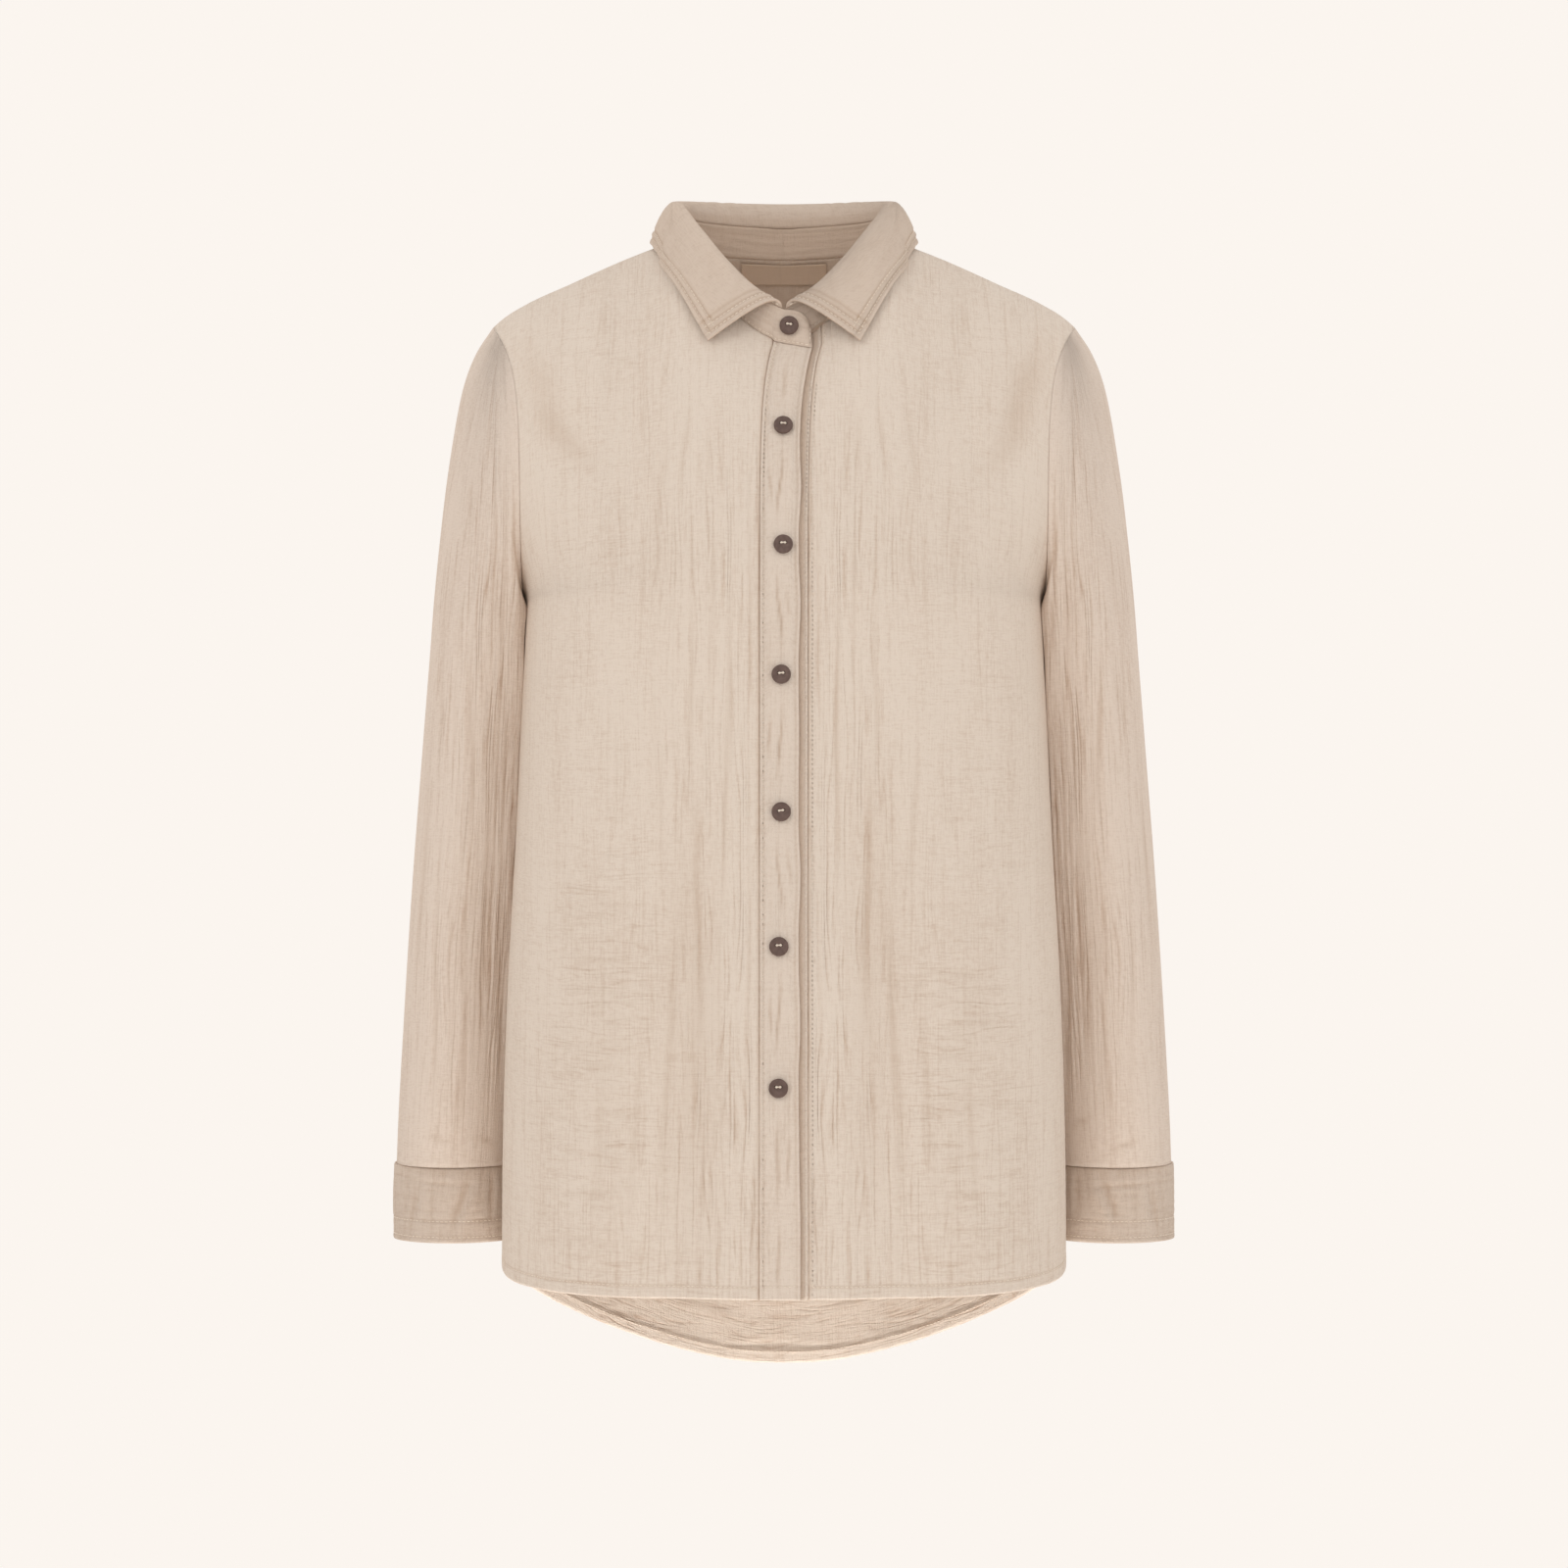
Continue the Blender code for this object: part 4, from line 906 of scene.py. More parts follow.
def body_relief(points, across, from_side, rows, seed):
    """Heights of a panel's hem, crinkles and creases, its thickness, and the marks for its finish."""
    x, z = points[..., 0], points[..., 2]
    far = np.abs(x)
    up = lengths_along(points)
    from_top = up[-1:] - up
    fine = 0.45 + 0.55 * ease((95 - far) / 60) * ease((-110 - z) / 90)
    fine = fine * (0.75 + 0.5 * lattice(across / 34, z / 70, seed + 5)) + 0.25 * ease((-520 - z) / 120)
    cross = (0.35 + 0.65 * ease((far - 50) / 60)) * (0.45 + 0.55 * ease((-330 - z) / 160))
    cross *= (0.5 + lattice(across / 40, z / 26, seed + 6)) * (1 - 0.6 * ease((far - 138) / 26))
    lowest = ease((-700 - z) / 30)
    cross, fine = cross + lowest, fine * (1 - 0.7 * lowest)
    pressed = creases(x, z, rows)
    height = 0.34 * fine * crinkle(across, z, 5.4, 170, seed)
    height += 0.30 * cross * crinkle(z, across, 6.5, 60, seed + 11) * ease((-300 - z) / 200) + pressed
    height += 0.55 * lowest * crinkle(z + 0.06 * across, across, 7.5, 90, seed + 13)
    height *= ease(up / 14) * ease(from_top / 6) * ease(from_side / 7)
    in_hem = 1 - ease((up - HEM_BAND) / 1.2)
    pucker = np.sin(2 * np.pi * (across / 2.9 + 1.2 * lattice(across / 9, up / 30, seed + 7)))
    height += 0.2 * in_hem * pucker * ease(up / 3) * ease((HEM_BAND + 1 - up) / 3)
    height -= 0.35 * groove(up - HEM_BAND + 0.7, 1.0)
    # The third mark is painted shade in the relief's valleys, in the creases and in the hem's stitch groove.
    marks = {"fine": fine * (1 - 0.6 * in_hem), "cross": np.maximum(cross, 0.8 * in_hem),
             "painted_shade": 0.40 * valleys(height) + 0.10 * np.clip(-pressed, 0, 2)
             + 0.25 * groove(up - HEM_BAND + 0.7, 0.9)}
    return height, CLOTH + HEM_EXTRA * in_hem, marks


# %% Fronts
BAND_HALF, BAND_PROUD, BAND_WALL = 13.0, 0.5, 2.2
UNDER_FROM, UNDER_TO, UNDER_WALL, UNDER_DEPTH, UNDER_EASE = -11.0, 19.0, 1.8, -2.4, 26.0
BAND_X, BAND_DRIFT, BAND_DRIFT_RUN = -3.6, 8.6, 28.0
OVER_NECK_Z, OVER_NECK_SLOPE, NECK_FRONT_Z = -77.5, -0.2, -78.0
TUCK = 0.2  # gap between a front's edge and its band


def band_x(z):
    """The middle of the closing, which drifts to the wearer's left near the neck."""
    return BAND_X + BAND_DRIFT * np.exp(-(NECK_FRONT_Z - np.minimum(z, NECK_FRONT_Z)) / BAND_DRIFT_RUN)


def hem_only(points):
    """How round a panel's rim is: round at the hem, nearly square where it is sewn to another piece."""
    return 0.24 - 0.20 * ease((lengths_along(points) - 6) / 4)


def front_panel(name, is_right, seed):
    """One front: the body from its closing to the side seam, with its relief along the normals."""
    def closing(z):
        """How far from the centre line this front begins, beside its band."""
        return BAND_HALF - 1 + TUCK - band_x(z) if is_right else UNDER_TO + TUCK + band_x(z)

    rows = panel_rows(14, 140, 66)
    u = panel_shares(closing_share(closing, rows), 64, 80)
    points = soften_chest(body("front", u, rows[:, None]), u, rows)
    across, grain = lengths_across(points), upright_grain(points, rows)
    moved_rows = moved(FRONT_CREASES, seed)
    height, thick, marks = body_relief(points, grain, across[:, -1:] - across, moved_rows, seed)
    if not is_right:
        past = points[..., 0] - points[:, :1, 0]
        height = height + UNDER_DEPTH * (1 - ease(past / UNDER_EASE))
        height += 0.8 * hill((past - 2.6) / 1.5) - 0.4 * hill((past - 5.0) / 1.2)
        # Painted shade beside the button band's edge, at the foot of the step.
        marks["painted_shade"] = np.maximum(marks["painted_shade"], 0.30 * hill(past / 2.2))
    else:
        height = height - 0.4 * hill(across / 2.2)
        # Painted shade along this front's edge, beside the buttonhole band.
        marks["painted_shade"] = np.maximum(marks["painted_shade"], 0.38 * hill(across / 1.6))
    outer = points + grid_normals(points) * height[..., None]
    cloth_wall(name + "_cloth", outer, thick, BODY_CLOTH, name, mirror=is_right, marks=marks,
               grain=grain, rim=hem_only(points))


front_panel("front_right", True, 11)
front_panel("front_left", False, 12)


# %% Back
rows = panel_rows(12, 112, 60)
half = panel_shares(np.zeros(len(rows)), 42, 48)
points = soften_middle(unfolded(soften_chest(body("back", half, rows[:, None]), half, rows)))
across, grain = lengths_across(points), upright_grain(points, rows, points.shape[1] // 2)
both_sides = np.concatenate([moved(BACK_CREASES, 21), moved(BACK_CREASES, 22, -1)])
from_side = np.minimum(across, across[:, -1:] - across)
height, thick, marks = body_relief(points, grain, from_side, both_sides, 23)
outer = points - grid_normals(points) * height[..., None]
# Painted shade on the back's inner face, growing towards the neck.
neck_inside_shade = 0.55 * ease((points[..., 2] + 190) / 110)
cloth_wall("back_cloth", outer, thick, BODY_CLOTH, "back", flip=True, marks=marks,
           inside=neck_inside_shade, grain=grain, rim=hem_only(points))


# %% [markdown]
# ## Sleeves and cuffs
# A set-in sleeve is a tube whose top follows the armhole. It hangs straight down and lies against
# the body's side, so its rings turn from the armhole's plane to level, and a point that would be
# inside the body is pushed out to its side. Long creases fall down its inner front from the
# underarm, and soft ones lie round the elbow. The cuff is two layers, so it is thicker and flatter,
# with two rows of stitching near its lower edge.

# %% Sleeves
SLEEVE = table(
    "outer_x outer_z inner_x inner_z mid_y half_y armhole",
    [
        (198.0, -58, 175.5, -247, 0, 55, 1),
        (209.0, -75, 175.5, -249, 0, 56, 0.8),
        (217.0, -95, 172.5, -252, 0.5, 57.5, 0.6),
        (222.8, -121, 170.0, -257, 2, 59, 0.4),
        (229.2, -161, 168.5, -264, 5, 60, 0.22),
        (234.2, -201, 168.3, -275, 9, 60.5, 0.1),
        (238.7, -243, 168.6, -292, 12.5, 60.5, 0.03),
        (242.6, -285, 169.4, -316, 18, 59, 0),
        (247.8, -341, 171.0, -352, 26, 56, 0),
        (254.7, -422, 174.0, -425, 32, 52, 0),
        (260.7, -503, 178.5, -504, 38, 48, 0),
        (266.0, -585, 183.0, -585, 43.5, 43, 0),
        (268.4, -630, 186.0, -630, 48, 40, 0),
    ],
)
SLEEVE_FOLDS = table(
    "angle_top angle_foot start end half_angle height",
    [
        (122, 130, 2, 12.5, 20, -2.5),
        (72, 84, 3, 12, 18, 2.0),
        (236, 228, 3, 12, 20, -3.5),
        (292, 280, 4, 12, 20, 2.0),
    ],
)
SLEEVE_FULL = 0.6  # how far the sleeve's inner front fills the gap beside the body
SLEEVE_COLUMNS, SLEEVE_ROWS = 150, 172
CLOSE_COLUMNS, CLOSE_AT = 0.5, 0.81  # how much closer its columns are at the inner front, and where
LAST_STATION = len(SLEEVE["armhole"]) - 1
A_DEGREE = 0.85  # millimetres round the sleeve for a degree
SLEEVE_CREASES = [  # across from the sleeve's front towards the body, height z, as above
    (6, -96, 14, -262, 1.5, 2.4, 0.60),
    (16, -120, 26, -330, -1.5, 2.6, 0.70),
    (26, -150, 36, -300, 1.0, 2.2, 0.60),
    (36, -180, 44, -360, 1.5, 2.4, 0.60),
    (-16, -150, -14, -196, 0.6, 2.2, 0.50),
    (-8, -250, 2, -420, 1.5, 3.0, 0.55),
    (14, -360, 22, -560, -2.0, 3.0, 0.65),
    (30, -400, 38, -610, 1.5, 2.8, 0.60),
    (-22, -400, -16, -600, 1.5, 3.2, 0.50),
    (2, -470, 8, -622, -1.0, 2.6, 0.50),
    (-34, -210, -30, -380, 1.5, 3.2, 0.40),
    (-46, -330, -42, -520, -1.5, 3.4, 0.45),
    (46, -470, 52, -600, 1.0, 2.8, 0.50),
    (-60, -120, -66, -300, 1.5, 4.0, 0.50),
    (-80, -200, -84, -420, -1.5, 4.0, 0.50),
    (-100, -300, -98, -540, 1.5, 3.6, 0.55),
    (-124, -180, -120, -380, 1.5, 3.6, 0.50),
    (66, -180, 62, -340, 1.0, 3.0, 0.50),
    (72, -360, 70, -560, -1.5, 3.4, 0.50),
    (-26, -611, 8, -622, 0.5, 2.4, 0.45),
    (16, -606, 44, -618, 0.5, 2.4, 0.45),
]
BESIDE_Z = np.linspace(-720, -247, 120)  # heights and depths at which the body's side is read
BESIDE_Y = np.linspace(-90, 90, 91)


def read_side():
    """The body's half width at each height and depth beside it, from the points of its own surface."""
    shares, rows = np.linspace(0.4, 1, 50)[None, :], np.linspace(-1, 0, 80)[:, None]
    loop = np.concatenate([body("front", shares, rows), body("back", shares, rows)[:, ::-1]], axis=1)
    wide, deep = (np.array([np.interp(BESIDE_Z, column[:, 2], column[:, part])
                            for column in np.swapaxes(loop, 0, 1)]).T for part in (0, 1))
    return np.array([np.interp(BESIDE_Y, y, x) for x, y in zip(wide, deep)])


BODY_SIDE = read_side()
TOUCH, SOFT = -0.2, 0.8  # gap between sleeve and body where they touch, and how soft the bend is


def beside_body(points):
    """The sleeve laid against the body: a point that would be inside it comes out to its side.

    The push is a soft maximum of 0 and the distance inside.
    """
    row, column = (np.clip((points[..., part] - places[0]) / (places[1] - places[0]), 0, len(places) - 1.001)
                   for part, places in ((2, BESIDE_Z), (1, BESIDE_Y)))
    i, j = row.astype(int), column.astype(int)
    inside = between_four(BODY_SIDE, i, j, row - i, column - j) + TOUCH - points[..., 0]
    push = (inside + np.sqrt(inside**2 + SOFT**2)) / 2 * ease((-246 - points[..., 2]) / 14)
    return points + push[..., None] * np.array([1.0, 0, 0])


def ring_armhole(turn):
    """The armhole all round: turn 0 is the shoulder tip, then the front, the underarm, the back."""
    v = np.abs(1 - np.mod(turn, 2 * np.pi) / np.pi)
    is_front = (np.mod(turn, 2 * np.pi) < np.pi)[..., None]
    return np.where(is_front, armhole("front", v), armhole("back", v))


def plain_sleeve(turn, station):
    """The left sleeve: ovals that turn from the armhole's plane to level."""
    turn, station = np.broadcast_arrays(np.asarray(turn, float), np.asarray(station, float))
    index = np.arange(len(SLEEVE["armhole"]), dtype=float)
    at = {name: curve(index, column, station) for name, column in SLEEVE.items()}
    full = SLEEVE_FULL * np.maximum(-np.cos(turn), 0) * ease((LAST_STATION - station) / 3)

    def ring(values):
        """An oval from its measures: x and z by the cosine of the turn, the depth by its sine."""
        swing = (1 + np.cos(turn)) / 2
        x = values["inner_x"] + swing * (values["outer_x"] - values["inner_x"])
        z = values["inner_z"] + swing * (values["outer_z"] - values["inner_z"])
        ahead = np.sin(turn)
        depth = np.sign(ahead) * np.abs(ahead) ** (1 - full * (ahead > 0))
        return point(x, values["mid_y"] - values["half_y"] * depth, z)

    form = ring_armhole(turn) - ring({name: column[0] for name, column in SLEEVE.items()})
    return ring(at) + np.clip(at["armhole"], 0, 1)[..., None] * form


def sleeve_fold_height(turn, station):
    """How far the sleeve's long soft folds stand off it."""
    degrees = np.degrees(np.mod(turn, 2 * np.pi))
    total = np.zeros(np.shape(degrees))
    for f in rows_of(SLEEVE_FOLDS):
        down = (station - f["start"]) / (f["end"] - f["start"])
        middle = f["angle_top"] + down * (f["angle_foot"] - f["angle_top"])
        fade = ease(2.5 * down) * ease(4 * (1 - down))
        total += f["height"] * fade * ease(1 - np.abs(degrees - middle) / (2 * f["half_angle"]))
    return total


def sleeve_turns():
    """Turns of a sleeve's columns, from its seam round to its seam, closest near the inner front."""
    part = np.linspace(0, 1, SLEEVE_COLUMNS + 1)[:-1]
    pull = np.sin(2 * np.pi * (part - CLOSE_AT)) + np.sin(2 * np.pi * CLOSE_AT)
    return np.pi + 2 * np.pi * part - CLOSE_COLUMNS * pull


def degrees_round(points, turn):
    """How far round the upright sleeve each point lies: 0 outside, 90 in front, 180 at the body.

    It is the angle of the point round the middle of an oval as wide and deep as the sleeve there.
    """
    heights = SLEEVE["outer_z"][::-1]
    outer_x, inner_x, mid_y, half_y = (np.interp(points[..., 2], heights, SLEEVE[column][::-1])
                                       for column in ("outer_x", "inner_x", "mid_y", "half_y"))
    sideways = (2 * points[..., 0] - outer_x - inner_x) / (outer_x - inner_x)
    degrees = np.degrees(np.arctan2((mid_y - points[..., 1]) / half_y, sideways))
    side = np.where(turn >= 2 * np.pi, 1, -1)
    return np.where(np.abs(degrees) > 90, side * np.abs(degrees), degrees)


def sleeve(name, is_right, seed):
    """A tube of cloth from the armhole to the cuff, its seam under the arm."""
    turn, station = np.meshgrid(sleeve_turns(), LAST_STATION * np.linspace(0, 1, SLEEVE_ROWS) ** 1.08)
    points, normals = with_normals(plain_sleeve, turn, station, 1.0, 0.01, (-10, 0), (20, LAST_STATION))
    points = beside_body(points + normals * sleeve_fold_height(turn, station)[..., None])
    normals = grid_normals(points, wrap=True)
    grain = A_DEGREE * degrees_round(points, turn)
    around = grain - 90 * A_DEGREE
    z, down = points[..., 2], lengths_along(points)
    across = lengths_across(points)
    from_seam = np.minimum(across, across[:, -1:] - across)
    from_foot = down[-1:] - down
    inner_front = hill((around - 36) / 38) * ease(down / 30) * ease(from_foot / 120)
    fine = 0.45 + 0.40 * lattice(across / 30, down / 90, seed + 5) + 1.0 * inner_front
    cross = 0.12 + 0.5 * ease((down - 380) / 140) * lattice(across / 30, down / 26, seed + 6)
    pressed = 1.3 * creases(around, z, moved(SLEEVE_CREASES, seed))
    height = 0.45 * fine * crinkle(grain, z, 6.5, 140, seed)
    height += 0.25 * cross * crinkle(z, grain, 7, 60, seed + 9)
    height = (height + inner_front * crinkle(grain, z, 5.0, 120, seed + 3)) * ease((down - 90) / 70) + pressed
    height *= ease(down / 9) * ease(from_foot / 7) * ease(from_seam / 6)
    height -= 0.3 * groove(from_foot - 5, 1.2) + 0.3 * groove(from_seam - 0.5, 1.2)
    outer = points + normals * height[..., None]
    outer[0] += 0.05 * unit(outer[1] - outer[0])
    # The third mark is painted shade in the relief's valleys and creases.
    marks = {"fine": fine, "cross": cross, "painted_shade": 0.35 * valleys(height) + 0.10 * np.clip(-pressed, 0, 2)}
    grain = np.concatenate([grain, np.full((len(grain), 1), 180 * A_DEGREE)], axis=1)
    cloth_wall(name + "_cloth", outer, CLOTH, SLEEVE_CLOTH, name,
               wrap=True, mirror=is_right, marks=marks, rim=0.05, grain=grain, length=-z)


sleeve("sleeve_right", True, 31)
sleeve("sleeve_left", False, 37)


# %% Cuffs
CUFF_TOP_Z, CUFF_HEIGHT, CUFF_WALL = -630.3, 51.7, 2.2
CUFF_STITCHES = [4.0, 15.0]  # distances of its rows of stitching from its lower edge
CUFF = {"mid_x": 228.0, "mid_y": 51.0, "half_x": 42.4, "half_y": 39.0, "flare": 0.6}
CUFF_CREASES = [  # across from the front, millimetres below the cuff's top, as above
    (14, -4, -4, 50, 1.0, 4.0, 0.80),
    (30, -2, 34, 40, 1.0, 3.0, 0.50),
    (-28, 4, -34, 52, 1.0, 3.5, 0.45),
    (-80, 2, -72, 50, 1.0, 4.0, 0.60),
    (-130, 4, -140, 46, 1.0, 4.0, 0.60),
    (-40, 11, 40, 11.5, 0.6, 1.8, 0.35),
]


def cuff_shape(turn, down):
    """A plain closed band, a little wider at its foot."""
    grow = CUFF["flare"] * down
    x = CUFF["mid_x"] + (CUFF["half_x"] + grow) * np.cos(turn)
    y = CUFF["mid_y"] - (CUFF["half_y"] + grow) * np.sin(turn)
    return point(x, y, CUFF_TOP_Z - CUFF_HEIGHT * down)


def cuff(name, is_right, seed):
    """One cuff with its two rows of stitching and the creases that bending leaves."""
    turn, down = np.meshgrid(np.pi + np.linspace(0, 2 * np.pi, 151)[:-1], np.linspace(0, 1, 44))
    points = cuff_shape(turn, down)
    below = CUFF_HEIGHT * down
    around = (np.degrees(turn) - 450) * A_DEGREE
    around = np.where(around > 90 * A_DEGREE, around - 360 * A_DEGREE, around)
    across = lengths_across(points)
    fine = 0.30 + 0.3 * lattice(across / 20, below / 30, seed + 5)
    height = 0.50 * crinkle(across, below, 6.0, 40, seed) + 0.45 * crinkle(below, across, 7.0, 30, seed + 2)
    height += 1.7 * creases(around, below, moved(CUFF_CREASES, seed, by=(3, 2)))
    height *= ease(below / 4) * ease((CUFF_HEIGHT - below) / 5)
    for distance in CUFF_STITCHES:
        height -= 0.4 * groove(below - (CUFF_HEIGHT - distance), 1.1)
    outer = points + grid_normals(points, wrap=True) * height[..., None]
    # Painted shade in the cuff's relief valleys.
    cloth_wall(name + "_cloth", outer, CUFF_WALL, CUFF_CLOTH, name,
               wrap=True, mirror=is_right, rim=0.16,
               marks={"fine": fine, "cross": 0.5, "painted_shade": 0.5 * valleys(height)})


cuff("cuff_right", True, 41)
cuff("cuff_left", False, 43)


# %% [markdown]
# ## The closing
# Two bands of doubled cloth close the front: the one with the buttonholes lies on top, and its
# free edge bows a little between the buttons, because the buttons hold it and the crinkles push it
# out in between. Both edges are stitched, and each short space between buttons has a crease or two.

# %% Bands
def band_shape(across, up, is_over):
    """A point of one of the two closing bands, on the body's surface."""
    first, last = (1.0 - BAND_HALF, BAND_HALF) if is_over else (UNDER_FROM, UNDER_TO)
    offset = first + across * (last - first)
    top_x = band_x(NECK_FRONT_Z) + offset
    if is_over:
        top = OVER_NECK_Z + OVER_NECK_SLOPE * top_x - 0.05
    else:
        angle = 180 - np.degrees(np.arcsin(np.clip(np.abs(top_x) / NECK_WIDTH, 0, 1)))
        top = along_neck("z", angle) - 0.05
    z = FRONT_HEM_Z + up * (top - FRONT_HEM_Z)
    x = band_x(z) + offset
    return point(x, front_y(x, z), z)


BUTTONS = table(
    "x z",
    [(3.4, -66), (-0.5, -135), (-0.5, -213), (-1.8, -297), (-1.8, -386), (-3.3, -473), (-3.6, -564)],
)
BAND_CREASES = [  # x from the band's middle, z, as above
    (1, -84, -1, -124, 0.8, 1.1, 0.40),
    (2, -144, -1, -205, -1.0, 1.0, 0.55),
    (-1, -221, 2, -289, 1.0, 1.0, 0.50),
    (2, -305, 0, -378, -0.8, 1.0, 0.55),
    (-1, -395, 2, -465, 1.0, 1.0, 0.50),
    (1, -481, -1, -556, -0.8, 1.0, 0.55),
    (1, -572, -2, -646, 0.8, 1.1, 0.50),
    (-1, -640, 1, -706, -0.8, 1.1, 0.45),
    (-6, -156, -5, -192, 0.6, 1.2, 0.35),
    (6, -236, 5, -266, 0.6, 1.2, 0.35),
    (-6, -318, -6, -356, -0.6, 1.2, 0.40),
    (6, -404, 7, -442, 0.6, 1.2, 0.35),
    (-5, -500, -5, -540, 0.6, 1.2, 0.40),
    (6, -588, 6, -634, -0.6, 1.2, 0.35),
]


def band(name, is_over, seed):
    """One closing band, doubled cloth with a stitched ridge along each edge."""
    share = np.linspace(0, 1, 29)
    across, up = np.meshgrid(share - 0.55 * np.sin(2 * np.pi * share) / (2 * np.pi), np.linspace(0, 1, 620))
    base, normals = with_normals(lambda a, b: band_shape(a, b, is_over), across, up, 1.0, 0.01, (0, 0))
    x, z = base[..., 0], base[..., 2]
    from_left = lengths_across(base)
    from_right = from_left[:, -1:] - from_left
    from_edge = np.minimum(from_left, from_right)
    from_hem = lengths_along(base)
    fine = 0.55 + 0.4 * lattice(from_left / 12, z / 30, seed + 5)
    height = 0.38 * crinkle(from_left, z, 5.0, 60, seed) * ease(from_edge / 4)
    height += 0.28 * crinkle(z, from_left, 5.5, 22, seed + 1) * ease(from_edge / 4)
    pucker = np.sin(2 * np.pi * (z / 4.4 + 1.5 * lattice(from_left / 6, z / 14, seed + 3)))
    height += 0.10 * pucker * hill((from_edge - 3.2) / 2.2)
    pressed = 1.3 * creases(x - band_x(z), z, BAND_CREASES) * is_over
    height += pressed if is_over else 0.7 * hill((from_right - 1.3) / 1.3)
    height -= 0.28 * groove(from_edge - 2.2, 0.9)
    if is_over:
        height -= 0.35 * groove(from_hem - HEM_BAND, 0.8)
        gap = np.array([np.abs(z - b) for b in BUTTONS["z"][1:]]).min(axis=0)
        bow = ease((gap - 6) / 34) * (0.2 + 1.3 * lattice(z / 60, 0 * z, seed + 8))
        base = base + point(bow * ease(across * 2 - 1), 0, 0)
        base[..., 1] = front_y(base[..., 0], base[..., 2])
        height = BAND_PROUD + height * ease(from_hem / 2)
    else:
        height = UNDER_DEPTH + height * ease(from_hem / 2)
    outer = base + normals * height[..., None]
    # Painted shade in the band's relief valleys, stitch grooves and creases.
    painted_shade = 0.35 * valleys(height) + 0.20 * groove(from_edge - 2.2, 0.8) + 0.50 * np.clip(-pressed, 0, 1)
    if not is_over:
        # The button band takes painted shade away from its right edge, where it lies in the top band's
        # shadow.
        painted_shade = np.maximum(painted_shade, 0.55 * ease((from_right - 2) / 2))
    cloth_wall(name + "_cloth", outer, BAND_WALL if is_over else UNDER_WALL, BAND_CLOTH, name,
               marks={"fine": 0.6 * fine, "cross": 0.35, "painted_shade": painted_shade}, normals=normals,
               rim=0.20 if is_over else 0.12)


band("buttonhole_band", True, 51)
band("button_band", False, 57)


# %% [markdown]
# ## The collar
# The stand is a strip on the neckline, that buttons over at the centre front. The leaf rises from
# its top edge, turns over at the roll line, and falls to its free edge, round the back and straight
# to the two tips. Along the long edge and the front edges it is stitched twice, which leaves a firm
# ridge at the very edge and two grooves inside it.

# %% Stand
DOUBLED, NECK_SEAM, FALL_SEAM = 2.0, 0.1, 0.1
STAND_HALF_X, STAND_LEAN, STAND_ROUND = 72.0, 1.5, 13.0
STAND_OVER_X, STAND_UNDER_X, OVER_FROM = 18.5, -6.5, -174.0
UNDER_SPREAD, OVER_SPREAD = (146, 18), (150, 18)


def layer_depth(angle):
    """How far the stand lies off the body: under the closing at one end, over it at the other."""
    under = UNDER_DEPTH * ease((angle - UNDER_SPREAD[0]) / UNDER_SPREAD[1])
    return under + BAND_PROUD * ease((-angle - OVER_SPREAD[0]) / OVER_SPREAD[1])


def stand_top(angle):
    """The top edge of the stand."""
    turn = np.radians(angle)
    lean = STAND_LEAN * np.cos(turn) * (0.5 + 0.5 * np.cos(turn))
    return point(STAND_HALF_X * np.sin(turn), along_neck("y", angle) + lean, along_neck("stand_z", angle))


def stand_shape(angle, up):
    """The collar stand, from its foot on the neckline (up = 0) to its top edge (up = 1)."""
    foot = neckline(angle)
    over = angle < OVER_FROM
    over_z = OVER_NECK_Z + OVER_NECK_SLOPE * foot[..., 0]
    foot[..., 1] = np.where(over, front_y(foot[..., 0], over_z), foot[..., 1])
    foot[..., 2] = np.where(over, over_z, foot[..., 2])
    top = stand_top(angle)
    top[..., 2] = np.where(np.abs(angle) > 180, NECKLINE["stand_z"][-1], top[..., 2])
    end = np.clip((foot[..., 0] - STAND_OVER_X) / STAND_ROUND + 1, 0, 0.995) * (angle < -180)
    top[..., 2] = top[..., 2] - STAND_ROUND * corner(end)
    return foot + up[..., None] * (top - foot)


STAND_FIRST = -180 - np.degrees(np.arcsin(STAND_OVER_X / NECK_WIDTH))
STAND_LAST = 180 + np.degrees(np.arcsin(-STAND_UNDER_X / NECK_WIDTH))
angle, up = np.meshgrid(np.linspace(STAND_FIRST, STAND_LAST, 221), np.linspace(0, 1, 22))
points, normals = with_normals(stand_shape, angle, up, -1.0, 0.02, (STAND_FIRST, 0), (STAND_LAST, 1))
normals = unit(normals * (1, 1, 0))
across, high = lengths_across(points), lengths_along(points)
from_edge = np.minimum(np.minimum(high, high[-1:] - high), np.minimum(across, across[:, -1:] - across))
fine = 0.35 + 0.3 * lattice(across / 20, high / 10, 65)
points = soften_middle(points)
height = 0.60 * crinkle(high, across, 5, 50, 61) * ease(from_edge / 4) - 0.55 * groove(from_edge - 1.8, 0.7)
outer = points + normals * (layer_depth(angle) + height)[..., None]
outer[0] += NECK_SEAM * unit(outer[1] - outer[0])
# Painted shade in the stand's relief valleys, and more on its inner face.
cloth_wall("collar_stand_cloth", outer, DOUBLED, COLLAR_CLOTH, "collar_stand",
           flip=True, marks={"fine": 0.3 * fine, "cross": fine, "painted_shade": 0.4 * valleys(height)},
           normals=normals, inside=0.5, rim=0.12)


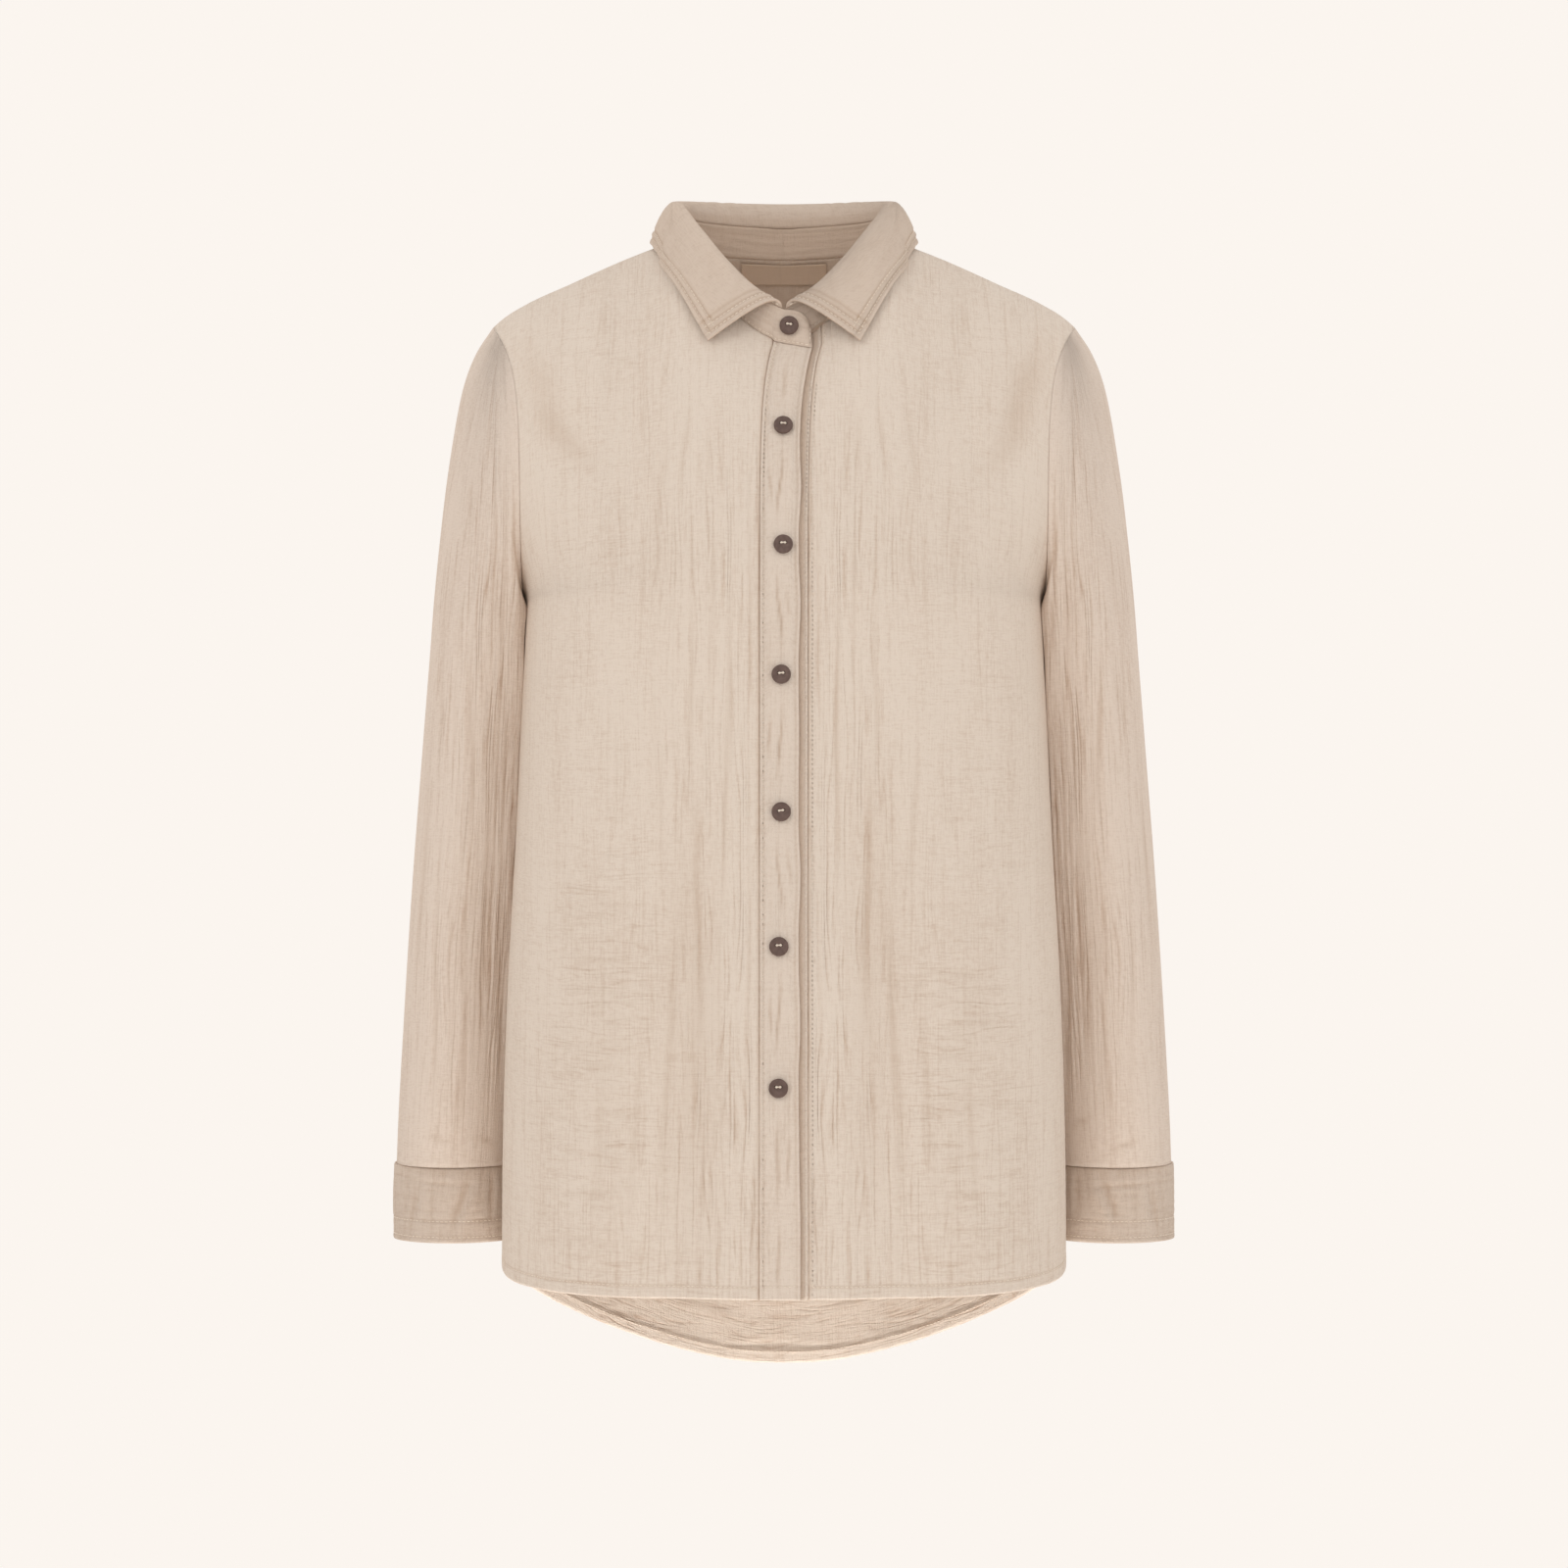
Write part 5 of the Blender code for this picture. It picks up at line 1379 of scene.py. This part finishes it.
# %% Leaf
FALL_BACK_Y, FALL_BACK_Z = 68.0, -3.0
FALL_SIDE_X, FALL_SIDE_Y, FALL_SIDE_Z = 91.0, -14.0, -2.0
TIP_X, TIP_Z, LEAF_CLEAR = 50.5, -79.0, 1.2
CENTRE_GAP_X, END_LIFT = 1.0, 0.9
LEAF = {"rise": 1.55, "lift": 1.0, "front_lift": 6.0, "spread": 0.42, "front_spread": 0.16,
        "back_lift": 4.0, "out": 4.0, "front_out": 6.0}
LEAF_CREASES = [  # along the leaf from its tip, from the free edge up, as above
    (14, 12, 60, 34, 1.5, 5.0, 0.60),
    (8, 30, 74, 36, 1.5, 6.0, 0.90),
    (30, 8, 96, 24, -1.5, 5.0, 0.50),
    (70, 30, 120, 18, 1.5, 4.0, 0.40),
    (6, 26, 34, 46, 1.0, 3.5, 0.45),
    (120, 12, 170, 20, 1.0, 4.0, 0.35),
]


def above_front(points, gap):
    """Points moved off the front, along its normal, until they are this far from it."""
    x, y, z = np.moveaxis(points, -1, 0)
    near = front_y(x, z)
    slope_x = (front_y(x + 1, z) - front_y(x - 1, z)) / 2
    slope_z = (front_y(x, z + 1) - front_y(x, z - 1)) / 2
    normal = unit(point(slope_x, -1, slope_z))
    off = (near - y) * -normal[..., 1]
    return points + normal * np.maximum(gap - off, 0)[..., None]


def fall_edge(share):
    """The free edge of the collar's leaf: round the back, then straight to the tip."""
    turn = np.pi * np.minimum(share, 0.5)
    behind = point(
        FALL_SIDE_X * np.sin(turn),
        FALL_SIDE_Y + (FALL_BACK_Y - FALL_SIDE_Y) * np.cos(turn),
        FALL_BACK_Z + (FALL_SIDE_Z - FALL_BACK_Z) * np.sin(turn),
    )
    along = np.clip(2 * share - 1, 0, 1)
    x = FALL_SIDE_X + along * (TIP_X - FALL_SIDE_X)
    z = FALL_SIDE_Z + along * (TIP_Z - FALL_SIDE_Z)
    start = point(FALL_SIDE_X, FALL_SIDE_Y, FALL_SIDE_Z)
    on_front = above_front(point(x, front_y(x, z), z), DOUBLED + LEAF_CLEAR + 2 * along)
    ahead = start + ease(6 * along)[..., None] * (on_front - start)
    return np.where((share < 0.5)[..., None], behind, ahead)


def fall_shape(share, across):
    """Half of the collar's leaf: up from the stand, over the roll line and down to its free edge."""
    angle = 180 * share
    turn = np.radians(angle)
    outwards = point(np.sin(turn), np.cos(turn), 0)
    near_end = ease((share - 0.8) / 0.2)
    top = stand_top(angle) + point(CENTRE_GAP_X * near_end, 0, FALL_SEAM + END_LIFT * near_end)
    foot = top - DOUBLED * outwards
    edge = fall_edge(share)
    rise = along_neck("roll_z", angle) - top[..., 2]
    in_front = ease((share - 0.5) / 0.3)
    first = foot + point(0, 0, LEAF["rise"] * rise + LEAF["lift"] + LEAF["front_lift"] * in_front)
    spread = LEAF["spread"] + LEAF["front_spread"] * in_front
    second = edge + spread[..., None] * (top - edge)
    second[..., 2] = second[..., 2] + LEAF["rise"] * rise + LEAF["back_lift"] * (1 - near_end)
    second = second + outwards * (LEAF["out"] * np.cos(turn) ** 2 + LEAF["front_out"] * near_end)[..., None]
    leaf = bezier(foot, first, second, edge, across)
    over_front = ease((share - 0.5) / 0.06) * ease((across - 0.3) / 0.3)
    raised = above_front(leaf, (DOUBLED + LEAF_CLEAR) * over_front)
    return leaf + ease(4 * over_front)[..., None] * (raised - leaf)


share, down = np.meshgrid(1 - np.linspace(1, 0, 121) ** 1.6, 1 - np.linspace(1, 0, 60) ** 1.35)
points, normals = with_normals(fall_shape, share, down, 1.0, 0.004, (0, 0))
normals[0] = -point(np.sin(np.pi * share[0]), np.cos(np.pi * share[0]), 0)
from_stand = lengths_along(points)
from_free = from_stand[-1:] - from_stand
from_front = lengths_across(points)
from_front = from_front[:, -1:] - from_front
from_edge = np.minimum(from_free, from_front)
fine = 0.30 + 0.35 * lattice(from_front / 24, from_free / 12, 75)
height = (0.25 * crinkle(from_free, from_front, 6.0, 60, 71)
          * ease((from_edge - 12) / 6) * ease(from_stand / 8))
height += (1.6 * creases(from_front, from_free, LEAF_CREASES)
           * ease(from_stand / 10) * ease((from_edge - 4) / 6))
height -= 0.80 * groove(from_edge - 4, 1.1) + 0.75 * groove(from_edge - 9, 1.1)
height += (0.9 * ease((from_front - 160) / 40) * crinkle(from_front, from_free, 9.0, 60, 79)
           * ease(from_stand / 5) * ease(from_free / 12))
height += 0.30 * hill((from_edge - 6.5) / 1.7) - 0.45 * groove(from_front - 13, 1.4) * ease(from_free / 8)
# Painted shade along the stitch grooves and the seam groove, strongest near the tips.
sewn = groove(from_edge - 4, 1.0) + groove(from_edge - 9, 1.0) + groove(from_front - 13, 1.2)
sewn = sewn * (0.18 + 0.25 * hill(from_front / 22))
# Painted shade in the relief's valleys and grooves, and near the stand, where the leaf turns under.
painted_shade = np.maximum(0.25 * valleys(height) + sewn, 0.3 * ease((9 - from_stand) / 4))
outer = soften_middle(unfolded(points + normals * height[..., None]))
normals = unit(soften_middle(unfolded(normals)))
fine, painted_shade = unfolded(fine), unfolded(painted_shade)
# Its inner face takes painted shade too.
cloth_wall("collar_fall_cloth", outer, DOUBLED, COLLAR_CLOTH, "collar_fall",
           marks={"fine": 0.25 * fine, "cross": 0.4 * fine, "painted_shade": painted_shade}, normals=normals,
           inside=0.3, rim=0.2)


# %% Label
LABEL_FROM, LABEL_TO, LABEL_HALF_WIDTH, LABEL_WALL = 0.885, 0.985, 30.0, 0.8
LABEL_DEPTH = 2.4  # from the back's outer face to the tape's
rows = np.linspace(LABEL_FROM, LABEL_TO, 24)
x = np.linspace(-LABEL_HALF_WIDTH, LABEL_HALF_WIDTH, 61)
u = share_at("back", np.broadcast_to(np.abs(x), (len(rows), len(x))), rows)
points = body("back", u, rows[:, None])
points[..., 0] *= np.where(x < 0, -1.0, 1.0)
points = soften_middle(points, 60)
# The tape's inner face takes painted shade.
cloth_wall("label_tape", points + grid_normals(points) * LABEL_DEPTH, LABEL_WALL, LABEL_TAPE,
           "label", flip=True, round_rim=0.6, inside=0.5)


# %% [markdown]
# ## Buttons
# A turned button of dark brown shell or its like: a dished face, a round rim and two holes. The
# thread passes through the holes and lies between them as a short cream bar. Each button is a
# polar grid whose height is a function of the radius, with two dents where the holes are.

# %% Buttons
BUTTON_RADIUS, BUTTON_THICK, BUTTON_LIFT = 6.25, 2.8, 0.6
BUTTON_SIDES, BUTTON_RINGS = 56, 26
BUTTON_EDGE = [(0.99, 1.0), (0.93, 0.35), (0.80, 0.05)]  # share of the radius, height; behind the rim
HOLE_RADIUS, HOLE_X, HOLE_RISE = 0.85, 1.75, 0.9
BAR_POINTS = 13  # points of the thread between a button's holes


def face_height(r, x, y):
    """Height of the button's face over its back: a shallow dish inside a round rim, with two holes."""
    rim = BUTTON_THICK * (1 - 0.14 * ease((0.60 - r / BUTTON_RADIUS) / 0.35))
    holes = sum(1 - ease((np.hypot(x - hole_x, y - HOLE_RISE) / HOLE_RADIUS - 0.55) / 0.6)
                for hole_x in (-HOLE_X, HOLE_X))
    return rim - 1.3 * corner((r / BUTTON_RADIUS - 0.80) / 0.20) - 1.3 * holes


def button(name, x, z, on_stand, tilt):
    """A turned button on the closing; gives the line of the thread between its holes."""
    if on_stand:
        angle = np.array([-180 - np.degrees(np.arcsin(x / NECK_WIDTH))])
        middle, facing = with_normals(stand_shape, angle, np.array([0.5]), -1.0, 0.5,
                                      (STAND_FIRST, 0), (0, 1))
        facing = unit(facing[0] * (1, 1, 0))
        here = np.array((*middle[0, :2], z))
    else:
        reach = BUTTON_RADIUS * np.array([0, 1, -1, 0, 0])
        sample_x, sample_z = x + reach, z + reach[[0, 3, 4, 1, 2]]
        places = point(sample_x, front_y(sample_x, sample_z), sample_z)
        facing = unit(np.cross(places[1] - places[2], places[3] - places[4]))
        here = places[0] + facing * max(0.0, ((places - places[0]) @ facing).max())
    base = here + facing * (BAND_PROUD + BUTTON_LIFT)
    right = unit(np.cross(facing, (0, 0, 1)))
    upwards = np.cross(right, facing)
    axes = np.array([right * np.cos(tilt) + upwards * np.sin(tilt),
                     upwards * np.cos(tilt) - right * np.sin(tilt), facing])

    turn, r = np.meshgrid(np.linspace(0, 2 * np.pi, BUTTON_SIDES + 1)[:-1],
                          BUTTON_RADIUS * np.linspace(0.02, 1, BUTTON_RINGS))
    px, py = r * np.cos(turn), r * np.sin(turn)
    edge = [point(px[-1] * share, py[-1] * share, height) for share, height in BUTTON_EDGE]
    rings = np.concatenate([point(px, py, face_height(r, px, py)), edge])
    middles = [(0, 0, face_height(0.0, 0.0, 0.0)), (0, 0, 0.05)]
    count, last = len(rings) * BUTTON_SIDES, (len(rings) - 1) * BUTTON_SIDES
    spokes = [(a, (a + 1) % BUTTON_SIDES) for a in range(BUTTON_SIDES)]
    faces = [*quad_rows(len(rings), BUTTON_SIDES, True)[0][:, ::-1], *[(count, a, b) for a, b in spokes],
             *[(count + 1, last + b, last + a) for a, b in spokes]]
    world = base + np.concatenate([rings.reshape(-1, 3), middles]) @ axes
    place(name + "_shell", listed_mesh(name + "_shell", world * MM, faces), SHELL, [name])

    bar = np.linspace(-1, 1, BAR_POINTS)
    return base + point(bar * HOLE_X, HOLE_RISE, 0.86 * BUTTON_THICK + 0.25 - 0.9 * bar**8) @ axes


tilts = np.random.default_rng(5).uniform(-0.14, 0.14, len(BUTTONS["x"]))
THREAD_LINES = [button(f"button_{i + 1}", b["x"], b["z"], i == 0, tilts[i])
                for i, b in enumerate(rows_of(BUTTONS))]


def tubes(lines, radius, sides=4):
    """Thin tubes along lines of the same number of points; radius is one number or one for a point."""
    lines = np.array(lines)
    along = unit(np.gradient(lines, axis=1))
    side = unit(np.cross(along, (0.0, 0.13, 0.99)))
    other = np.cross(side, along)
    turn = np.linspace(0, 2 * np.pi, sides + 1)[:-1]
    ring = np.cos(turn)[:, None] * side[:, :, None] + np.sin(turn)[:, None] * other[:, :, None]
    points = lines[:, :, None] + np.broadcast_to(radius, lines.shape[1])[None, :, None, None] * ring
    count, steps = lines.shape[:2]
    starts = np.arange(count)[:, None, None] * steps * sides
    first = np.arange(sides)
    ends = np.stack([first[::-1], first + (steps - 1) * sides])
    quads, caps = starts + quad_rows(steps, sides, True)[0], starts + ends
    return points.reshape(-1, 3), quads.reshape(-1, 4), caps.reshape(-1, sides)


def thread_piece(name, lines, radius):
    """One mesh of all the short threads that lie along these lines."""
    points, quads, caps = tubes(lines, radius)
    print(f"{name}: {len(lines)} threads, {2 * len(quads) + 2 * len(caps)} triangles")
    place(name, listed_mesh(name, points * MM, [*quads, *caps]), THREAD)


knots = 0.42 + 0.42 * hill((np.abs(np.linspace(-1, 1, BAR_POINTS)) - 0.72) / 0.35)
thread_piece("button_thread", THREAD_LINES, knots)


# %% [markdown]
# ## The stitching
# A seam shows as a row of short threads that come up out of the cloth and go down again. Each row
# keeps its distance from an edge, so it is found on the faces of the finished piece: for every
# column the place where the length from that edge reaches the distance. Then the line is cut into
# equal steps with a thread in each.

# %% Stitches
STITCH_PITCH, STITCH_RADIUS, STITCH_MARGIN = 3.1, 0.30, 2.0
STITCH_AT = np.array([-0.34, -0.22, 0.22, 0.34]) * STITCH_PITCH
STITCH_HEIGHTS = np.array([-0.30, 0.16, 0.16, -0.30])


def line_beside(grid, distance):
    """For each column of a grid, the point that is this far from its first row along the column."""
    far = lengths_along(grid)
    step, column = np.argmax(far > distance, axis=0), np.arange(grid.shape[1])
    share = (distance - far[step - 1, column]) / (far[step, column] - far[step - 1, column])
    return grid[step - 1, column] + share[:, None] * (grid[step, column] - grid[step - 1, column])


def stitch_row(name, side, distance, inside):
    """Threads beside the first or last row (top, foot) or column (left, right) of a piece."""
    faces = [np.swapaxes(grid, 0, 1) if side in ("left", "right") else grid for grid in FACES[name]]
    faces = [grid[::-1] if side in ("foot", "right") else grid for grid in faces]
    line, other = (line_beside(grid, distance) for grid in (faces[::-1] if inside else faces))
    lift = unit(line - other)
    far = lengths_across(line[None])[0]
    run = far[-1] - STITCH_MARGIN - STITCH_MARGIN
    count = int(run / STITCH_PITCH)
    at = (STITCH_MARGIN + run * (np.arange(count) + 0.5) / count)[:, None] + STITCH_AT
    lines, lifts = (np.stack([np.interp(at, far, values[:, k]) for k in range(3)], -1)
                    for values in (line, lift))
    return lines + lifts * STITCH_HEIGHTS[:, None]


HEM_STITCH = HEM_BAND - 0.7
SEAMS = [  # piece, its edges, distances from each of them in millimetres, on the inner face
    ("front_right_cloth", "top", [HEM_STITCH], False),
    ("front_left_cloth", "top", [HEM_STITCH], False),
    ("back_cloth", "top", [HEM_STITCH], False),
    ("back_cloth", "top", [HEM_STITCH], True),
    ("buttonhole_band_cloth", "left", [2.2], False),
    ("buttonhole_band_cloth", "top", [HEM_BAND], False),
    ("button_band_cloth", "right", [1.4], False),
    ("front_left_cloth", "left", [3.0], False),
    ("cuff_right_cloth", "foot", CUFF_STITCHES, False),
    ("cuff_left_cloth", "foot", CUFF_STITCHES, False),
    ("collar_stand_cloth", "top right left", [1.8], False),
    ("collar_fall_cloth", "foot", [4.0, 9.0], False),
    ("collar_fall_cloth", "left right", [4.0, 9.0], False),
    ("collar_fall_cloth", "top", [1.5], True),
]
stitches = [stitch_row(name, edge, distance, inside) for name, edges, distances, inside in SEAMS
            for distance in distances for edge in edges.split()]
thread_piece("seam_thread", np.concatenate(stitches), STITCH_RADIUS)


# %% [markdown]
# The widths run across the grain and the lengths along it, without seam allowances, which don't
# show.


# %% [markdown]
# ## The studio
# A pale floor that curves up into a wall behind, far enough off that no shadow falls on it. Most of
# the light comes evenly from all round. Two wide soft lights, high on the left and on the right of
# the camera, show the crinkles, and a small one below lights the inside of the longer back. The
# camera stands level with the middle of the blouse.

# %% Floor and wall
LOWEST, WALL_Y, WALL_TOP, FLOOR_FRONT, BEND, HALF_FLOOR = -1.75, 2.6, 3.0, -4.0, 0.9, 5.0  # in metres
profile = [(FLOOR_FRONT, LOWEST)]
for t in np.linspace(0, np.pi / 2, 25):
    profile.append((WALL_Y - BEND + BEND * np.sin(t), LOWEST + BEND - BEND * np.cos(t)))
profile.append((WALL_Y, WALL_TOP))
corners = [(x, y, z) for y, z in profile for x in (-HALF_FLOOR, HALF_FLOOR)]
strips = [(2 * i, 2 * i + 1, 2 * i + 3, 2 * i + 2) for i in range(len(profile) - 1)]
floor = linked("studio_floor", listed_mesh("studio_floor", corners, strips))
floor.data.materials.append(BACKDROP)
floor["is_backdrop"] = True


# %% Light and camera
LIGHTS = [  # name, place, the point that it faces, size, power
    ("key", (-1.7, -2.7, 1.4), (0, 0, -0.25), 1.3, 15),
    ("fill", (1.8, -2.7, 0.9), (0, 0, -0.25), 1.6, 9),
    ("below", (0.0, -0.05, -1.20), (0, 0.11, -0.74), 0.45, 2.5),
]
LIGHT_TINT, AIR_TINT, AIR_STRENGTH = (1.0, 0.985, 0.965), (1.0, 0.988, 0.975, 1.0), 0.825
CAMERA_AT, LENS, SENSOR = (0.0, -2.5, -0.368), 84.375, 36.0
for name, place_at, look_at, size, power in LIGHTS:
    data = bpy.data.lights.new(name, "AREA")
    data.shape, data.size, data.energy, data.color = "SQUARE", size, power, LIGHT_TINT
    light = linked(name, data)
    light.location = place_at
    aim = np.array(look_at) - np.array(place_at)
    light.rotation_euler = mathutils.Vector(aim).to_track_quat("-Z", "Y").to_euler()
world = bpy.data.worlds.new("studio_air")
world.use_nodes = True
air = world.node_tree.nodes["Background"].inputs
air["Color"].default_value, air["Strength"].default_value = AIR_TINT, AIR_STRENGTH
bpy.context.scene.world = world
bpy.context.scene.view_settings.view_transform = "Standard"

camera = linked("camera", bpy.data.cameras.new("camera"))
camera.data.lens, camera.data.sensor_width = LENS, SENSOR
camera.location, camera.rotation_euler = CAMERA_AT, (np.pi / 2, 0, 0)
bpy.context.scene.camera = camera


# %% Sizes and the end
low, high = (list(corner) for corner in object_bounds())
print("visual box, mm:", [round((b - a) / MM, 1) for a, b in zip(low, high)])
